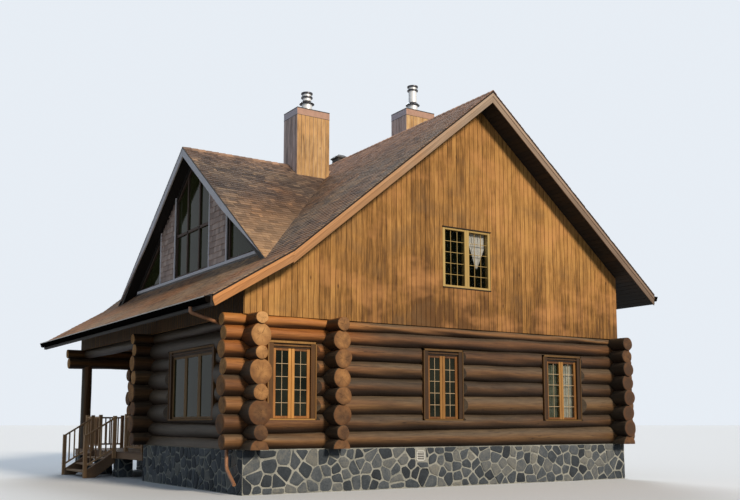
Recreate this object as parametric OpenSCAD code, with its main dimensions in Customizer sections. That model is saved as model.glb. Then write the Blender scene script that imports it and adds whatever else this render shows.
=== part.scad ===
// Log house of one and a half storeys on a fieldstone foundation: scribed round
// logs below, boarded gables and a steep roof above, with a wide front dormer,
// an open porch beside a front room, and two boarded chimneys.
// +X is the right gable, -Y the front, +Z up. The origin is on the ground under
// the middle of the house.

/* [Log walls] */
// Distance between the centrelines of the two gable log walls
house_l = 11360; // [10500:10:12500]
// Distance between the centrelines of the back wall and the front room's front wall
house_d = 10570; // [10200:10:11000]
// Depth of the porch, by which the front room stands out from the core of the house
porch_d = 1900; // [1750:5:2050]
// Centreline of the front room's side wall, to the right of the house's middle
room_side_x = 280; // [0:10:700]
// Height of the log walls, from the foundation up
log_wall_h = 2750; // [2600:10:2950]
// Length of a log end past the centreline of the wall it crosses
log_end = 570; // [450:5:650]
// Length of the front room's log ends inside the core of the house
inner_end = 290; // [270:5:350]
// Share by which neighbouring logs sink into each other, at their scribed joint
scribe = 0.06; // [0.03:0.005:0.1]
// Clearance in a saddle notch and around the window frames
fit_gap = 3; // [1:1:6]

/* [Foundation] */
// Height of the foundation above the ground
foundation_h = 900; // [700:10:1200]
// Thickness of the foundation walls
foundation_t = 400; // [320:10:500]
// Distance of the foundation's outer face from the log centreline
foundation_out = 190; // [170:5:220]
// Depth of the ledge that carries the main floor
ledge_w = 120; // [80:5:160]
// Width of the vent in the right foundation wall
vent_w = 230; // [180:10:400]
// Height of the vent
vent_h = 230; // [150:10:300]
// Distance of the vent ahead of the gable wall's middle window
vent_in = 690; // [0:10:900]

/* [Floors] */
// Thickness of the main floor
main_floor_t = 220; // [150:10:300]
// Thickness of the upper floor
upper_floor_t = 200; // [150:10:300]

/* [Boarded walls] */
// Thickness of the boarded gable walls and knee walls
board_wall_t = 150; // [140:5:200]
// Distance of the gable boarding's outer face from the gable logs' centreline
board_out = 100; // [80:5:120]
// Distance of the knee walls' outer face from the front and back logs' centreline
knee_out = 165; // [140:5:200]

/* [Roof] */
// Slope of the main roof, in degrees
main_pitch = 39.5; // [37:0.1:42]
// Slope of the lower front roof over the porch and the front room, in degrees
lower_pitch = 30.9; // [28:0.1:34]
// Height of the bend in the front slope above the log walls
bend_rise = 1305; // [1200:5:1400]
// Distance of the bend in the front slope behind the front log centreline
bend_in = 655; // [550:5:800]
// Height of the back eave above the log walls
eave_back_rise = 1195; // [1100:5:1300]
// Thickness of the roof, square to its slope
roof_t = 195; // [160:5:240]
// Overhang of the front eave past the front log centreline
eave_front = 1105; // [900:5:1300]
// Overhang of the back eave past the back log centreline
eave_back = 1000; // [850:5:1200]
// Overhang of the roof past the boarded gables
rake_out = 560; // [400:10:700]
// Thickness of the rake boards and fascias
trim_t = 40; // [25:1:60]
// Height of the rake boards, square to the slope
rake_h = 220; // [180:5:280]

/* [Dormer] */
// Slope of the dormer roof, in degrees
dormer_pitch = 36.9; // [35:0.1:39]
// Distance of the dormer ridge below the main ridge
dormer_below = 660; // [450:10:900]
// Distance of the dormer's front wall behind the bend of the main roof
dormer_set = 350; // [250:10:500]
// Distance of the dormer's barge boards behind the bend of the main roof
dormer_front = 55; // [40:5:80]
// Thickness of the dormer roof, square to its slope
dormer_roof_t = 160; // [130:5:200]
// Height of the dormer's sill above the main roof
dormer_sill = 110; // [80:10:200]
// Half the width of the dormer's middle window
dormer_mid_w = 1180; // [900:10:1400]
// Distance of the dormer's side windows from its middle
dormer_side_x = 2300; // [2100:10:2600]
// Height of the dormer's barge boards, square to the slope
dormer_rake_h = 200; // [170:10:300]
// Width of the frame left around the dormer's windows, square to the slope
dormer_rail = 100; // [70:5:150]

/* [Windows and door] */
// Height of the window sills above the foundation
sill_h = 590; // [500:5:750]
// Height of the window heads above the foundation
head_h = 2225; // [2000:5:2300]
// Width of the windows in the log walls
window_w = 1155; // [850:5:1200]
// Width of the last window of the gable walls
side_last_w = 1300; // [900:10:1500]
// Distance of the gable wall's first window behind the front log centreline
side_first_in = 925; // [880:5:1000]
// Distance of the gable wall's middle window behind the point halfway between the others
side_mid_shift = 90; // [0:10:200]
// Distance of the gable wall's last window ahead of the back log centreline
side_last_in = 1940; // [1600:5:2200]
// Distance of the back wall's outer windows from the gable logs' centrelines
back_window_in = 1810; // [1600:10:2100]
// Distance of the porch window's middle from the left log centreline
porch_window_in = 1540; // [1300:10:1700]
// Width of the wide window of the front room
front_window_w = 2660; // [2000:10:2900]
// Distance of the wide window's middle from the house's middle
front_window_x = 3000; // [2700:10:3200]
// Width of the upper window in the gables
upper_window_w = 1450; // [1000:10:1800]
// Height of the upper window in the gables
upper_window_h = 1425; // [1000:5:1600]
// Height of the upper window's sill above the log walls
upper_sill_h = 960; // [800:10:1200]
// Distance of the upper window's middle ahead of the ridge
upper_window_in = 405; // [200:5:600]
// Thickness of the window frames in the boarded walls
frame_t = 110; // [70:5:115]
// Width of the planks that line the sides of a window's opening in the logs
jamb_w = 135; // [80:5:150]
// Height of the plank over a window's sashes
head_w = 150; // [70:5:170]
// Height of the plank under a window's sashes
sill_w = 35; // [25:5:80]
// Depth of the planks, in and out of the wall
plank_d = 200; // [190:5:260]
// Distance of the planks' outer face from the log centreline
plank_out = 180; // [160:5:190]
// Distance of the sashes' outer face from the log centreline
sash_out = 120; // [110:5:140]
// Thickness of the sashes
sash_t = 60; // [40:5:70]
// Width of a sash's stiles, and of the dormer's window frames
frame_w = 70; // [50:2:80]
// Height of a sash's top and bottom rails
sash_rail_h = 50; // [40:2:80]
// Thickness of the window glass
glass_t = 24; // [12:2:40]
// Distance of the front door's middle to the left of the house's middle
door_in = 1500; // [1300:10:1700]
// Width of the front door
door_w = 950; // [850:10:1100]
// Height of the front door above the foundation
door_h = 2050; // [1950:10:2150]
// Thickness of the front door
door_t = 50; // [40:5:70]
// Width of the opening between the front room and the core of the house
passage_w = 2000; // [1200:50:3000]

/* [Curtains] */
// Diameter of the rods that the curtains hang from
rod_d = 14; // [8:1:20]
// Distance of a rod below the head of its window
rod_below = 40; // [25:5:90]
// Depth of a curtain's folds, as a share of the room behind the sashes
fold_share = 0.6; // [0.3:0.05:0.9]
// Gap between the two curtains of the gable wall's last window, and at their sides and feet
curtain_gap = 12; // [6:2:40]
// Width of the upper window's curtain at its rod
upper_curtain_w = 520; // [300:10:600]
// Length of the upper window's curtain, as a share of the window's height
upper_curtain_share = 0.6; // [0.4:0.05:0.85]
// Width of the upper window's curtain at its foot, where it is drawn together
upper_curtain_foot = 60; // [20:5:150]
// Length of that curtain's left side, as a share of its whole length
left_side_share = 0.2; // [0.1:0.05:0.5]
// Length of that curtain's right side, as a share of its whole length
right_side_share = 0.4; // [0.2:0.05:0.7]

/* [Chimneys] */
// Width of the boarded chimneys, along the ridge
chimney_w = 790; // [600:10:1000]
// Depth of the boarded chimneys
chimney_d = 1030; // [800:10:1300]
// Thickness of the chimneys' boarded walls
chimney_t = 60; // [40:5:90]
// Middle of the front chimney, to the right of the house's middle
front_chimney_x = 110; // [0:10:300]
// Middle of the back chimney, to the right of the house's middle
back_chimney_x = 260; // [0:10:400]
// Distance of the front chimney's middle ahead of the ridge
front_chimney_in = 1665; // [1500:5:1850]
// Distance of the back chimney's middle behind the ridge
back_chimney_in = 1995; // [1800:5:2200]
// Height of the front chimney above the ridge
front_chimney_rise = 920; // [700:10:1200]
// Height of the back chimney above the ridge
back_chimney_rise = 1540; // [1200:10:1800]
// Height of the metal cap band on a chimney
cap_h = 220; // [150:5:280]
// Diameter of the flues' pipes
flue_d = 250; // [180:5:290]
// Height of the front flue above its chimney
front_flue_h = 620; // [540:10:750]
// Height of the back flue above its chimney
back_flue_h = 900; // [600:10:1000]
// Width of the roof vent behind the ridge
roof_vent_w = 420; // [300:10:550]
// Height of the roof vent above the roof that it stands on
roof_vent_h = 750; // [500:10:850]
// Distance of the roof vent behind the ridge
roof_vent_in = 420; // [350:10:600]
// Distance of the roof vent to the left of the house's middle
roof_vent_x = 1500; // [1200:10:2000]

/* [Porch] */
// Height of the porch deck above the ground
deck_z = 680; // [550:10:800]
// Thickness of the deck with its joists
deck_t = 180; // [120:10:240]
// Diameter of the porch's corner post
post_d = 300; // [240:10:360]
// Left side of the stair, to the left of the house's middle
stair_left = 3950; // [3700:10:4200]
// Right side of the stair, to the left of the house's middle
stair_right = 2000; // [1800:10:2300]
// Number of steps from the ground to the deck
steps = 4; // [3:1:5]
// Depth of a step
step_run = 250; // [220:5:300]
// Height of the railings above the deck and above the steps
rail_h = 950; // [850:10:1050]

/* [Gutters] */
// Width of the gutters
gutter_w = 130; // [100:5:160]
// Diameter of the downspout
downspout_d = 80; // [60:5:100]
// Distance of the downspout from the right log centreline
spout_in = 310; // [290:5:400]
// Distance of the downspout ahead of the front log centreline
spout_out = 310; // [305:5:350]
// Height of the elbow at the downspout's foot
spout_foot_z = 520; // [400:10:700]
// Height of the downspout's mouth
spout_mouth_z = 220; // [150:10:300]
// Reach of the downspout's foot to the right
spout_reach = 520; // [300:10:520]

/* [Hidden] */
$fn = 48;

// Relative heights of the log courses, from the foundation up, at the low and the
// high end of a wall: the logs taper, and lie butt to top. The logs that run along X
// start with a half log, so that the two directions alternate at a corner.
along_y_low = [31, 40, 36, 42, 34, 36, 30, 26];
along_y_high = [45, 31, 46, 32, 41, 33, 30, 17];
front_low = [24, 40, 36, 42, 36, 38, 34, 25];
front_high = [19, 30, 49, 32, 49, 27, 44, 25];
core_low = [25, 38, 34, 43, 33, 42, 33, 27];
core_high = [19, 29, 42, 37, 40, 39, 40, 29];
back_low = [22, 36, 43, 34, 42, 31, 37, 30];
back_high = [20, 40, 39, 38, 38, 35, 33, 32];
courses = len(along_y_low);
function sum_to(list, n) = n <= 0 ? 0 : list[n - 1] + sum_to(list, n - 1);
function course_low(list, i) = log_wall_h * sum_to(list, i) / sum_to(list, courses);
function course_h(list, i) = course_low(list, i + 1) - course_low(list, i);
function between(low, high, t) = low + (high - low) * t;
function y_share(y) = (y - front_y + log_end) / (house_d + 2 * log_end);
function x_share(x) = (x - left_x + log_end) / (house_l + 2 * log_end);
function row_low(y) = y == front_y ? front_low : y == core_y ? core_low : back_low;
function row_high(y) = y == front_y ? front_high : y == core_y ? core_high : back_high;

// Centre height above the foundation and radius of a log along Y, at y
function y_log_z(i, y) = between(
    course_low(along_y_low, i) + course_h(along_y_low, i) / 2,
    course_low(along_y_high, i) + course_h(along_y_high, i) / 2,
    y_share(y));
function y_log_r(i, y) =
    between(course_h(along_y_low, i), course_h(along_y_high, i), y_share(y)) * (1 + scribe) / 2;

// The same of a log along X, in the wall at y, at x. The first one is a half log.
function x_log_z(i, y, x) = i == 0 ? 0 : between(
    course_low(row_low(y), i) + course_h(row_low(y), i) / 2,
    course_low(row_high(y), i) + course_h(row_high(y), i) / 2,
    x_share(x));
function x_log_r(i, y, x) = between(course_h(row_low(y), i), course_h(row_high(y), i), x_share(x))
    * (1 + scribe) * (i == 0 ? 1 : 0.5);

// the longer ends of every second log
function ragged(i) = i % 2 == 0 ? 0 : 45;

right_x = house_l / 2;
left_x = -house_l / 2;
front_y = -house_d / 2;
back_y = house_d / 2;
core_y = front_y + porch_d;
logs_top_z = foundation_h + log_wall_h;
upper_floor_z = logs_top_z + upper_floor_t;
last = courses - 1;
notch_l = 700;
log_cut = 900;

main_tan = tan(main_pitch);
lower_tan = tan(lower_pitch);
bend_y = -front_y - bend_in;
eave_back_y = back_y + eave_back;
// the ridge is where the two main slopes meet, to the whole millimetre
ridge_y = round((eave_back_y - bend_y) / 2 + (eave_back_rise - bend_rise) / (2 * main_tan));
ridge_z = round(logs_top_z + bend_rise + (ridge_y + bend_y) * main_tan);
bend_z = ridge_z - (ridge_y + bend_y) * main_tan;
eave_back_z = ridge_z - (eave_back_y - ridge_y) * main_tan;
eave_front_y = front_y - eave_front;
eave_front_z = bend_z - (-bend_y - eave_front_y) * lower_tan;
main_drop = roof_t / cos(main_pitch);
lower_drop = roof_t / cos(lower_pitch);
// where the undersides of the two front slopes meet
bend_in_y = -bend_y + (lower_drop - main_drop) / (main_tan - lower_tan);
bend_in_z = bend_z - main_drop + (bend_in_y + bend_y) * main_tan;
gable_out_x = right_x + board_out;
gable_in_x = gable_out_x - board_wall_t;
roof_end_x = gable_out_x + rake_out;
function roof_top(y) = y > ridge_y ? ridge_z - (y - ridge_y) * main_tan
    : y > -bend_y ? ridge_z - (ridge_y - y) * main_tan
    : bend_z - (-bend_y - y) * lower_tan;
function roof_under(y) = y > bend_in_y ? roof_top(y) - main_drop : bend_in_z - (bend_in_y - y) * lower_tan;

dormer_tan = tan(dormer_pitch);
dormer_ridge_z = ridge_z - dormer_below;
dormer_drop = dormer_roof_t / cos(dormer_pitch);
dormer_front_y = -bend_y + dormer_front;
dormer_wall_y = -bend_y + dormer_set;
dormer_end_y = ridge_y - (ridge_z - dormer_ridge_z) / main_tan;
dormer_half_w = (dormer_ridge_z - bend_z) / dormer_tan;
function dormer_top(x) = dormer_ridge_z - abs(x) * dormer_tan;

// Solids that several sub-parts share

module along_x(x0, x1) {
    translate([x0, 0, 0])
        rotate([90, 0, 90])
            linear_extrude(x1 - x0) children();
}

module along_y(y0, y1) {
    translate([0, y1, 0])
        rotate([90, 0, 0])
            linear_extrude(y1 - y0) children();
}

module slab(low, high) {
    translate(low) cube(high - low);
}

// A tapered log between two points
module log_between(a, b, ra, rb) {
    d = b - a;
    translate(a)
        rotate([0, acos(d[2] / norm(d)), atan2(d[1], d[0])])
            cylinder(h = norm(d), r1 = ra, r2 = rb);
}

module x_log(i, y, x0, x1, more = 0) {
    log_between([x0, y, foundation_h + x_log_z(i, y, x0)], [x1, y, foundation_h + x_log_z(i, y, x1)],
                x_log_r(i, y, x0) + more, x_log_r(i, y, x1) + more);
}

module y_log(i, x, y0, y1, more = 0) {
    log_between([x, y0, foundation_h + y_log_z(i, y0)], [x, y1, foundation_h + y_log_z(i, y1)],
                y_log_r(i, y0) + more, y_log_r(i, y1) + more);
}

// Cuts a stack of logs flat on the foundation and under the upper floor
module flat_cuts(low, high) {
    slab([low[0] - log_cut, low[1] - log_cut, foundation_h - log_cut],
         [high[0] + log_cut, high[1] + log_cut, foundation_h]);
    slab([low[0] - log_cut, low[1] - log_cut, logs_top_z],
         [high[0] + log_cut, high[1] + log_cut, logs_top_z + log_cut]);
}

// A wall of logs along X at y, with its courses from the one numbered from to the one
// numbered to. crossed lists the x of each wall that crosses it: a log is notched
// underneath over the logs that lie lower.
module x_wall(y, x0, x1, crossed, from = 0, to = last) {
    difference() {
        for (i = [from:to]) {
            difference() {
                x_log(i, y, x0 - ragged(i), x1 + ragged(i));
                if (i > 0)
                    for (x = crossed, k = [max(i - 2, 0):i - 1])
                        y_log(k, x, y - notch_l / 2, y + notch_l / 2, fit_gap);
            }
        }
        flat_cuts([x0, y], [x1, y]);
    }
}

// A wall of logs along Y at x, with crossed as the y of each wall that crosses it
module y_wall(x, y0, y1, crossed, from = 0, to = last) {
    difference() {
        for (i = [from:to]) {
            difference() {
                y_log(i, x, y0 - ragged(i), y1 + ragged(i));
                for (y = crossed, k = [max(i - 1, 0):i])
                    x_log(k, y, x - notch_l / 2, x + notch_l / 2, fit_gap);
            }
        }
        flat_cuts([x, y0], [x, y1]);
    }
}

// An opening in a wall along X, centred on x
module x_opening(x, y, w, low, high) {
    slab([x - w / 2, y - log_cut, foundation_h + low], [x + w / 2, y + log_cut, foundation_h + high]);
}

// An opening in a wall along Y, centred on y
module y_opening(x, y, w, low, high) {
    slab([x - log_cut, y - w / 2, foundation_h + low], [x + log_cut, y + w / 2, foundation_h + high]);
}

side_first_y = front_y + side_first_in;
side_last_y = back_y - side_last_in;
side_windows = [side_first_y, (side_first_y + side_last_y) / 2 + side_mid_shift, side_last_y];
side_widths = [window_w, window_w, side_last_w];
left_first = 1;
back_windows = [left_x + back_window_in, 0, right_x - back_window_in];
porch_window_x = left_x + porch_window_in;
door_x = -door_in;
upper_window_y = ridge_y - upper_window_in;

// The openings of a gable wall's windows, from the one numbered from on
module side_openings(x, from) {
    for (k = [from:len(side_windows) - 1])
        y_opening(x, side_windows[k], side_widths[k], sill_h, head_h);
}

// The widths of the planks at the sides of, over and under a window's sashes
low_planks = [jamb_w, head_w, sill_w];
no_planks = [0, 0, 0];
low_window_h = head_h - sill_h - fit_gap;

// A window's own plane: X along the wall, Y up and Z out of the wall
module in_wall(x, y, turn, low) {
    translate([x, y, foundation_h + low])
        rotate([90, 0, turn]) children();
}

module layer(out, t) {
    translate([0, 0, out - t]) linear_extrude(t) children();
}

module upright(w, h) {
    translate([-w / 2, 0]) square([w, h]);
}

// A light for each sash, inside the planks
module panes(w, h, lights, planks) {
    sash_w = (w - 2 * planks[0]) / lights;
    for (k = [0:lights - 1])
        translate([planks[0] + (k + 0.5) * sash_w - w / 2, planks[2] + sash_rail_h])
            upright(sash_w - 2 * frame_w, h - planks[1] - planks[2] - 2 * sash_rail_h);
}

module sashes(w, h, lights, planks, out, t) {
    layer(out, t) difference() {
        upright(w, h);
        panes(w, h, lights, planks);
    }
}

// The panes stand in the middle of the sashes and fill their lights from edge to edge
module glass(w, h, lights, planks, out, t) {
    layer(out - (t - glass_t) / 2, glass_t) panes(w, h, lights, planks);
}

// A window in a log wall stands on its sill
module low_frame(x, y, turn, w, lights = 2) {
    frame_out_w = w - 2 * fit_gap;
    in_wall(x, y, turn, sill_h) {
        sashes(frame_out_w, low_window_h, lights, low_planks, sash_out, sash_t);
        layer(plank_out, plank_d) difference() {
            upright(frame_out_w, low_window_h);
            translate([0, sill_w])
                upright(frame_out_w - 2 * jamb_w, low_window_h - head_w - sill_w);
        }
    }
}

module low_glass(x, y, turn, w, lights = 2) {
    in_wall(x, y, turn, sill_h)
        glass(w - 2 * fit_gap, low_window_h, lights, low_planks, sash_out, sash_t);
}

// Foundation

foundation_in = foundation_t - foundation_out;

module foundation_wall(low, high) {
    color("slategray") slab([low[0], low[1], 0], [high[0], high[1], foundation_h]);
}

// The space of the main floor, which also cuts the ledges that carry it
module floor_space() {
    out = foundation_in - ledge_w;
    z = foundation_h - main_floor_t;
    slab([left_x + out, core_y + out, z], [right_x - out, back_y - out, foundation_h]);
    slab([room_side_x + out, front_y + out, z], [right_x - out, core_y + out, foundation_h]);
}

module foundation_right() {
    difference() {
        foundation_wall([right_x - foundation_in, front_y - foundation_out],
                        [right_x + foundation_out, back_y + foundation_out]);
        floor_space();
        vent_space();
    }
}

module foundation_left() {
    difference() {
        foundation_wall([left_x - foundation_out, core_y - foundation_out],
                        [left_x + foundation_in, back_y + foundation_out]);
        floor_space();
    }
}

module foundation_back() {
    difference() {
        foundation_wall([left_x + foundation_in, back_y - foundation_in],
                        [right_x - foundation_in, back_y + foundation_out]);
        floor_space();
    }
}

module foundation_front() {
    difference() {
        foundation_wall([room_side_x - foundation_out, front_y - foundation_out],
                        [right_x - foundation_in, front_y + foundation_in]);
        floor_space();
    }
}

module foundation_core() {
    difference() {
        foundation_wall([left_x + foundation_in, core_y - foundation_out],
                        [right_x - foundation_in, core_y + foundation_in]);
        floor_space();
    }
}

module foundation_room_side() {
    difference() {
        foundation_wall([room_side_x - foundation_out, front_y + foundation_in],
                        [room_side_x + foundation_in, core_y - foundation_out]);
        floor_space();
    }
}

vent_y = side_windows[1] - vent_in;
vent_d = 60;
vent_top = 80;
vent_low = foundation_h - vent_top - vent_h;

module vent_space(gap = 0) {
    slab([right_x + foundation_out - vent_d, vent_y - vent_w / 2 + gap, vent_low],
         [right_x + foundation_out, vent_y + vent_w / 2 - gap, foundation_h - vent_top - gap]);
}

module foundation_vent() {
    slat = 12;
    color("white") difference() {
        vent_space(fit_gap);
        for (z = [vent_low + 2 * slat : 2 * slat : foundation_h - vent_top - 2 * slat])
            slab([right_x + foundation_out - vent_d / 2, vent_y - vent_w / 2 + 2 * slat, z],
                 [right_x + foundation_out + vent_d, vent_y + vent_w / 2 - 2 * slat, z + slat]);
    }
}

// Floors

module main_floor() {
    color("burlywood") floor_space();
}

module upper_floor() {
    color("burlywood")
        slab([-gable_in_x, front_y - knee_out + board_wall_t, logs_top_z],
             [gable_in_x, back_y + knee_out - board_wall_t, upper_floor_z]);
}

// Log walls

module log_wall_right() {
    color("#9a6a3c") difference() {
        y_wall(right_x, front_y - log_end, back_y + log_end, [front_y, core_y, back_y]);
        side_openings(right_x, 0);
    }
}

// The two top logs run on over the porch
module log_wall_left() {
    color("#9a6a3c") difference() {
        union() {
            y_wall(left_x, core_y - log_end, back_y + log_end, [core_y, back_y], 0, last - 2);
            y_wall(left_x, front_y - log_end, back_y + log_end, [core_y, back_y], last - 1, last - 1);
            y_wall(left_x, front_y - log_end, back_y + log_end, [front_y, core_y, back_y], last, last);
        }
        side_openings(left_x, left_first);
    }
}

module log_wall_back() {
    color("#9a6a3c") difference() {
        x_wall(back_y, left_x - log_end, right_x + log_end, [left_x, right_x]);
        for (x = back_windows) x_opening(x, back_y, window_w, sill_h, head_h);
    }
}

// The top log runs on over the porch and rests on its posts
module log_wall_front() {
    color("#9a6a3c") difference() {
        union() {
            x_wall(front_y, room_side_x - log_end, right_x + log_end,
                   [room_side_x, right_x], 0, last - 1);
            x_wall(front_y, left_x - log_end, right_x + log_end,
                   [left_x, room_side_x, right_x], last, last);
        }
        x_opening(front_window_x, front_y, front_window_w, sill_h, head_h);
    }
}

module log_wall_core() {
    color("#9a6a3c") difference() {
        x_wall(core_y, left_x - log_end, right_x + log_end, [left_x, room_side_x, right_x]);
        x_opening(door_x, core_y, door_w, 0, door_h);
        x_opening(porch_window_x, core_y, window_w, sill_h, head_h);
        x_opening(front_window_x, core_y, passage_w, 0, head_h);
    }
}

module log_wall_room_side() {
    color("#9a6a3c")
        y_wall(room_side_x, front_y - log_end, core_y + inner_end, [front_y, core_y]);
}

// Boarded walls

// The gable between the logs and the roof, as an outline in Y and Z
module gable_outline() {
    y0 = front_y - knee_out;
    y1 = back_y + knee_out;
    polygon([
        [y0, logs_top_z], [y0, roof_under(y0)], [bend_in_y, bend_in_z],
        [ridge_y, ridge_z - main_drop], [y1, roof_under(y1)], [y1, logs_top_z]
    ]);
}

module gable_wall(x0, x1) {
    color("#b0773a") difference() {
        along_x(x0, x1) gable_outline();
        y_opening((x0 + x1) / 2, upper_window_y, upper_window_w,
                  log_wall_h + upper_sill_h, log_wall_h + upper_sill_h + upper_window_h);
    }
}

module gable_wall_right() {
    gable_wall(gable_in_x, gable_out_x);
}

module gable_wall_left() {
    gable_wall(-gable_out_x, -gable_in_x);
}

module knee_wall_front() {
    y0 = front_y - knee_out;
    y1 = y0 + board_wall_t;
    color("#b0773a") along_x(-gable_in_x, gable_in_x)
        polygon([[y0, logs_top_z], [y1, logs_top_z], [y1, roof_under(y1)], [y0, roof_under(y0)]]);
}

module knee_wall_back() {
    y1 = back_y + knee_out;
    y0 = y1 - board_wall_t;
    color("#b0773a") along_x(-gable_in_x, gable_in_x)
        polygon([[y0, logs_top_z], [y1, logs_top_z], [y1, roof_under(y1)], [y0, roof_under(y0)]]);
}

// Roof

// The space under the dormer, cut through the main roof inside the dormer's valleys
module dormer_hole() {
    y = dormer_wall_y + board_wall_t;
    rise = dormer_ridge_z - dormer_drop - roof_top(y);
    translate([0, 0, logs_top_z])
        linear_extrude(ridge_z - logs_top_z)
            polygon([[-rise / dormer_tan, y], [rise / dormer_tan, y], [0, y + rise / main_tan]]);
}

module roof_front_upper() {
    color("saddlebrown") difference() {
        along_x(-roof_end_x, roof_end_x)
            polygon([
                [-bend_y, bend_z], [bend_in_y, bend_in_z],
                [ridge_y, ridge_z - main_drop], [ridge_y, ridge_z]
            ]);
        dormer_hole();
    }
}

module roof_front_lower() {
    color("saddlebrown") along_x(-roof_end_x, roof_end_x)
        polygon([
            [-bend_y, bend_z], [eave_front_y, eave_front_z],
            [eave_front_y, eave_front_z - lower_drop], [bend_in_y, bend_in_z]
        ]);
}

module roof_back() {
    color("saddlebrown") along_x(-roof_end_x, roof_end_x)
        polygon([
            [ridge_y, ridge_z], [ridge_y, ridge_z - main_drop],
            [eave_back_y, eave_back_z - main_drop], [eave_back_y, eave_back_z]
        ]);
}

// A band under the roof's top line, along both slopes of a gable
module rake_outline() {
    main_h = rake_h / cos(main_pitch);
    lower_h = rake_h / cos(lower_pitch);
    in_y = -bend_y + (lower_h - main_h) / (main_tan - lower_tan);
    in_z = bend_z - main_h + (in_y + bend_y) * main_tan;
    polygon([
        [eave_front_y, eave_front_z], [-bend_y, bend_z], [ridge_y, ridge_z], [eave_back_y, eave_back_z],
        [eave_back_y, eave_back_z - main_h], [ridge_y, ridge_z - main_h],
        [in_y, in_z], [eave_front_y, eave_front_z - lower_h]
    ]);
}

module rake_boards_right() {
    color("#b98a6a") along_x(roof_end_x, roof_end_x + trim_t) rake_outline();
}

module rake_boards_left() {
    color("#b98a6a") along_x(-roof_end_x - trim_t, -roof_end_x) rake_outline();
}

module fascia_front() {
    color("#6a4a34")
        slab([-roof_end_x - trim_t, eave_front_y - trim_t, eave_front_z - lower_drop],
             [roof_end_x + trim_t, eave_front_y, eave_front_z]);
}

module fascia_back() {
    color("#6a4a34")
        slab([-roof_end_x - trim_t, eave_back_y, eave_back_z - main_drop],
             [roof_end_x + trim_t, eave_back_y + trim_t, eave_back_z]);
}

// Dormer

// All that lies under the top of the main roof's front slope
module under_main_roof() {
    along_x(-2 * right_x, 2 * right_x)
        polygon([
            [-2 * bend_y, bend_z - bend_y * lower_tan], [-bend_y, bend_z], [ridge_y, ridge_z],
            [ridge_y + bend_y, ridge_z - bend_y * main_tan], [ridge_y + bend_y, 0], [-2 * bend_y, 0]
        ]);
}

// The dormer's front in X and Z, between its roof and the height low
module dormer_outline(drop, low) {
    peak = dormer_ridge_z - drop;
    half = (peak - low) / dormer_tan;
    polygon([[-half, low], [0, peak], [half, low]]);
}

dormer_wall_low = roof_top(dormer_wall_y);
dormer_sill_z = dormer_wall_low + dormer_sill;

module dormer_mid_light() {
    top = dormer_ridge_z - dormer_drop - dormer_rail / cos(dormer_pitch);
    polygon([
        [-dormer_mid_w, dormer_sill_z], [dormer_mid_w, dormer_sill_z],
        [dormer_mid_w, top - dormer_mid_w * dormer_tan], [0, top],
        [-dormer_mid_w, top - dormer_mid_w * dormer_tan]
    ]);
}

module dormer_side_light() {
    top = dormer_ridge_z - dormer_drop - dormer_rail / cos(dormer_pitch);
    end_x = (top - dormer_sill_z) / dormer_tan;
    polygon([
        [dormer_side_x, dormer_sill_z], [end_x, dormer_sill_z],
        [dormer_side_x, top - dormer_side_x * dormer_tan]
    ]);
}

module dormer_lights() {
    dormer_mid_light();
    for (side = [0, 1]) mirror([side, 0]) dormer_side_light();
}

module dormer_wall() {
    color("#7d6a5a") difference() {
        along_y(dormer_wall_y, dormer_wall_y + board_wall_t)
            dormer_outline(dormer_drop, bend_z - dormer_drop);
        under_main_roof();
        along_y(dormer_wall_y - log_cut, dormer_wall_y + log_cut) dormer_lights();
    }
}

module dormer_roof(side) {
    color("saddlebrown") difference() {
        along_y(dormer_front_y, dormer_end_y + dormer_drop)
            polygon([
                [0, dormer_ridge_z], [0, dormer_ridge_z - dormer_drop],
                [side * dormer_half_w, bend_z - dormer_drop], [side * dormer_half_w, bend_z]
            ]);
        under_main_roof();
    }
}

module dormer_roof_right() {
    dormer_roof(1);
}

module dormer_roof_left() {
    dormer_roof(-1);
}

module dormer_rake_boards() {
    color("#a99a92") difference() {
        along_y(dormer_front_y - trim_t, dormer_front_y) difference() {
            dormer_outline(0, bend_z - dormer_rake_h);
            dormer_outline(dormer_rake_h / cos(dormer_pitch), bend_z - 2 * dormer_rake_h);
        }
        under_main_roof();
    }
}

// Windows and door

right_turn = 90;
front_turn = 0;
back_turn = 180;
left_turn = -90;

module window_frames_right() {
    color("#c07a3a") for (k = [0:len(side_windows) - 1])
        low_frame(right_x, side_windows[k], right_turn, side_widths[k]);
}

module window_frames_left() {
    color("#c07a3a") for (k = [left_first:len(side_windows) - 1])
        low_frame(left_x, side_windows[k], left_turn, side_widths[k]);
}

module window_frames_back() {
    color("#c07a3a") for (x = back_windows) low_frame(x, back_y, back_turn, window_w);
}

front_lights = 3;

module window_frame_front() {
    color("#c07a3a") {
        low_frame(front_window_x, front_y, front_turn, front_window_w, front_lights);
        low_frame(porch_window_x, core_y, front_turn, window_w);
    }
}

upper_w = upper_window_w - 2 * fit_gap;
upper_h = upper_window_h - fit_gap;

// The upper windows of the right and left gables stand in their boarding
module upper_window_places() {
    in_wall(gable_out_x, upper_window_y, right_turn, log_wall_h + upper_sill_h) children();
    in_wall(-gable_out_x, upper_window_y, left_turn, log_wall_h + upper_sill_h) children();
}

module window_frames_upper() {
    color("#b59a4a") upper_window_places() sashes(upper_w, upper_h, 2, no_planks, 0, frame_t);
}

module window_frames_dormer() {
    y = dormer_wall_y + board_wall_t / 2;
    color("#5a4632") along_y(y - frame_t / 2, y + frame_t / 2)
        difference() {
            dormer_lights();
            dormer_lights_inner();
        }
}

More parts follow.
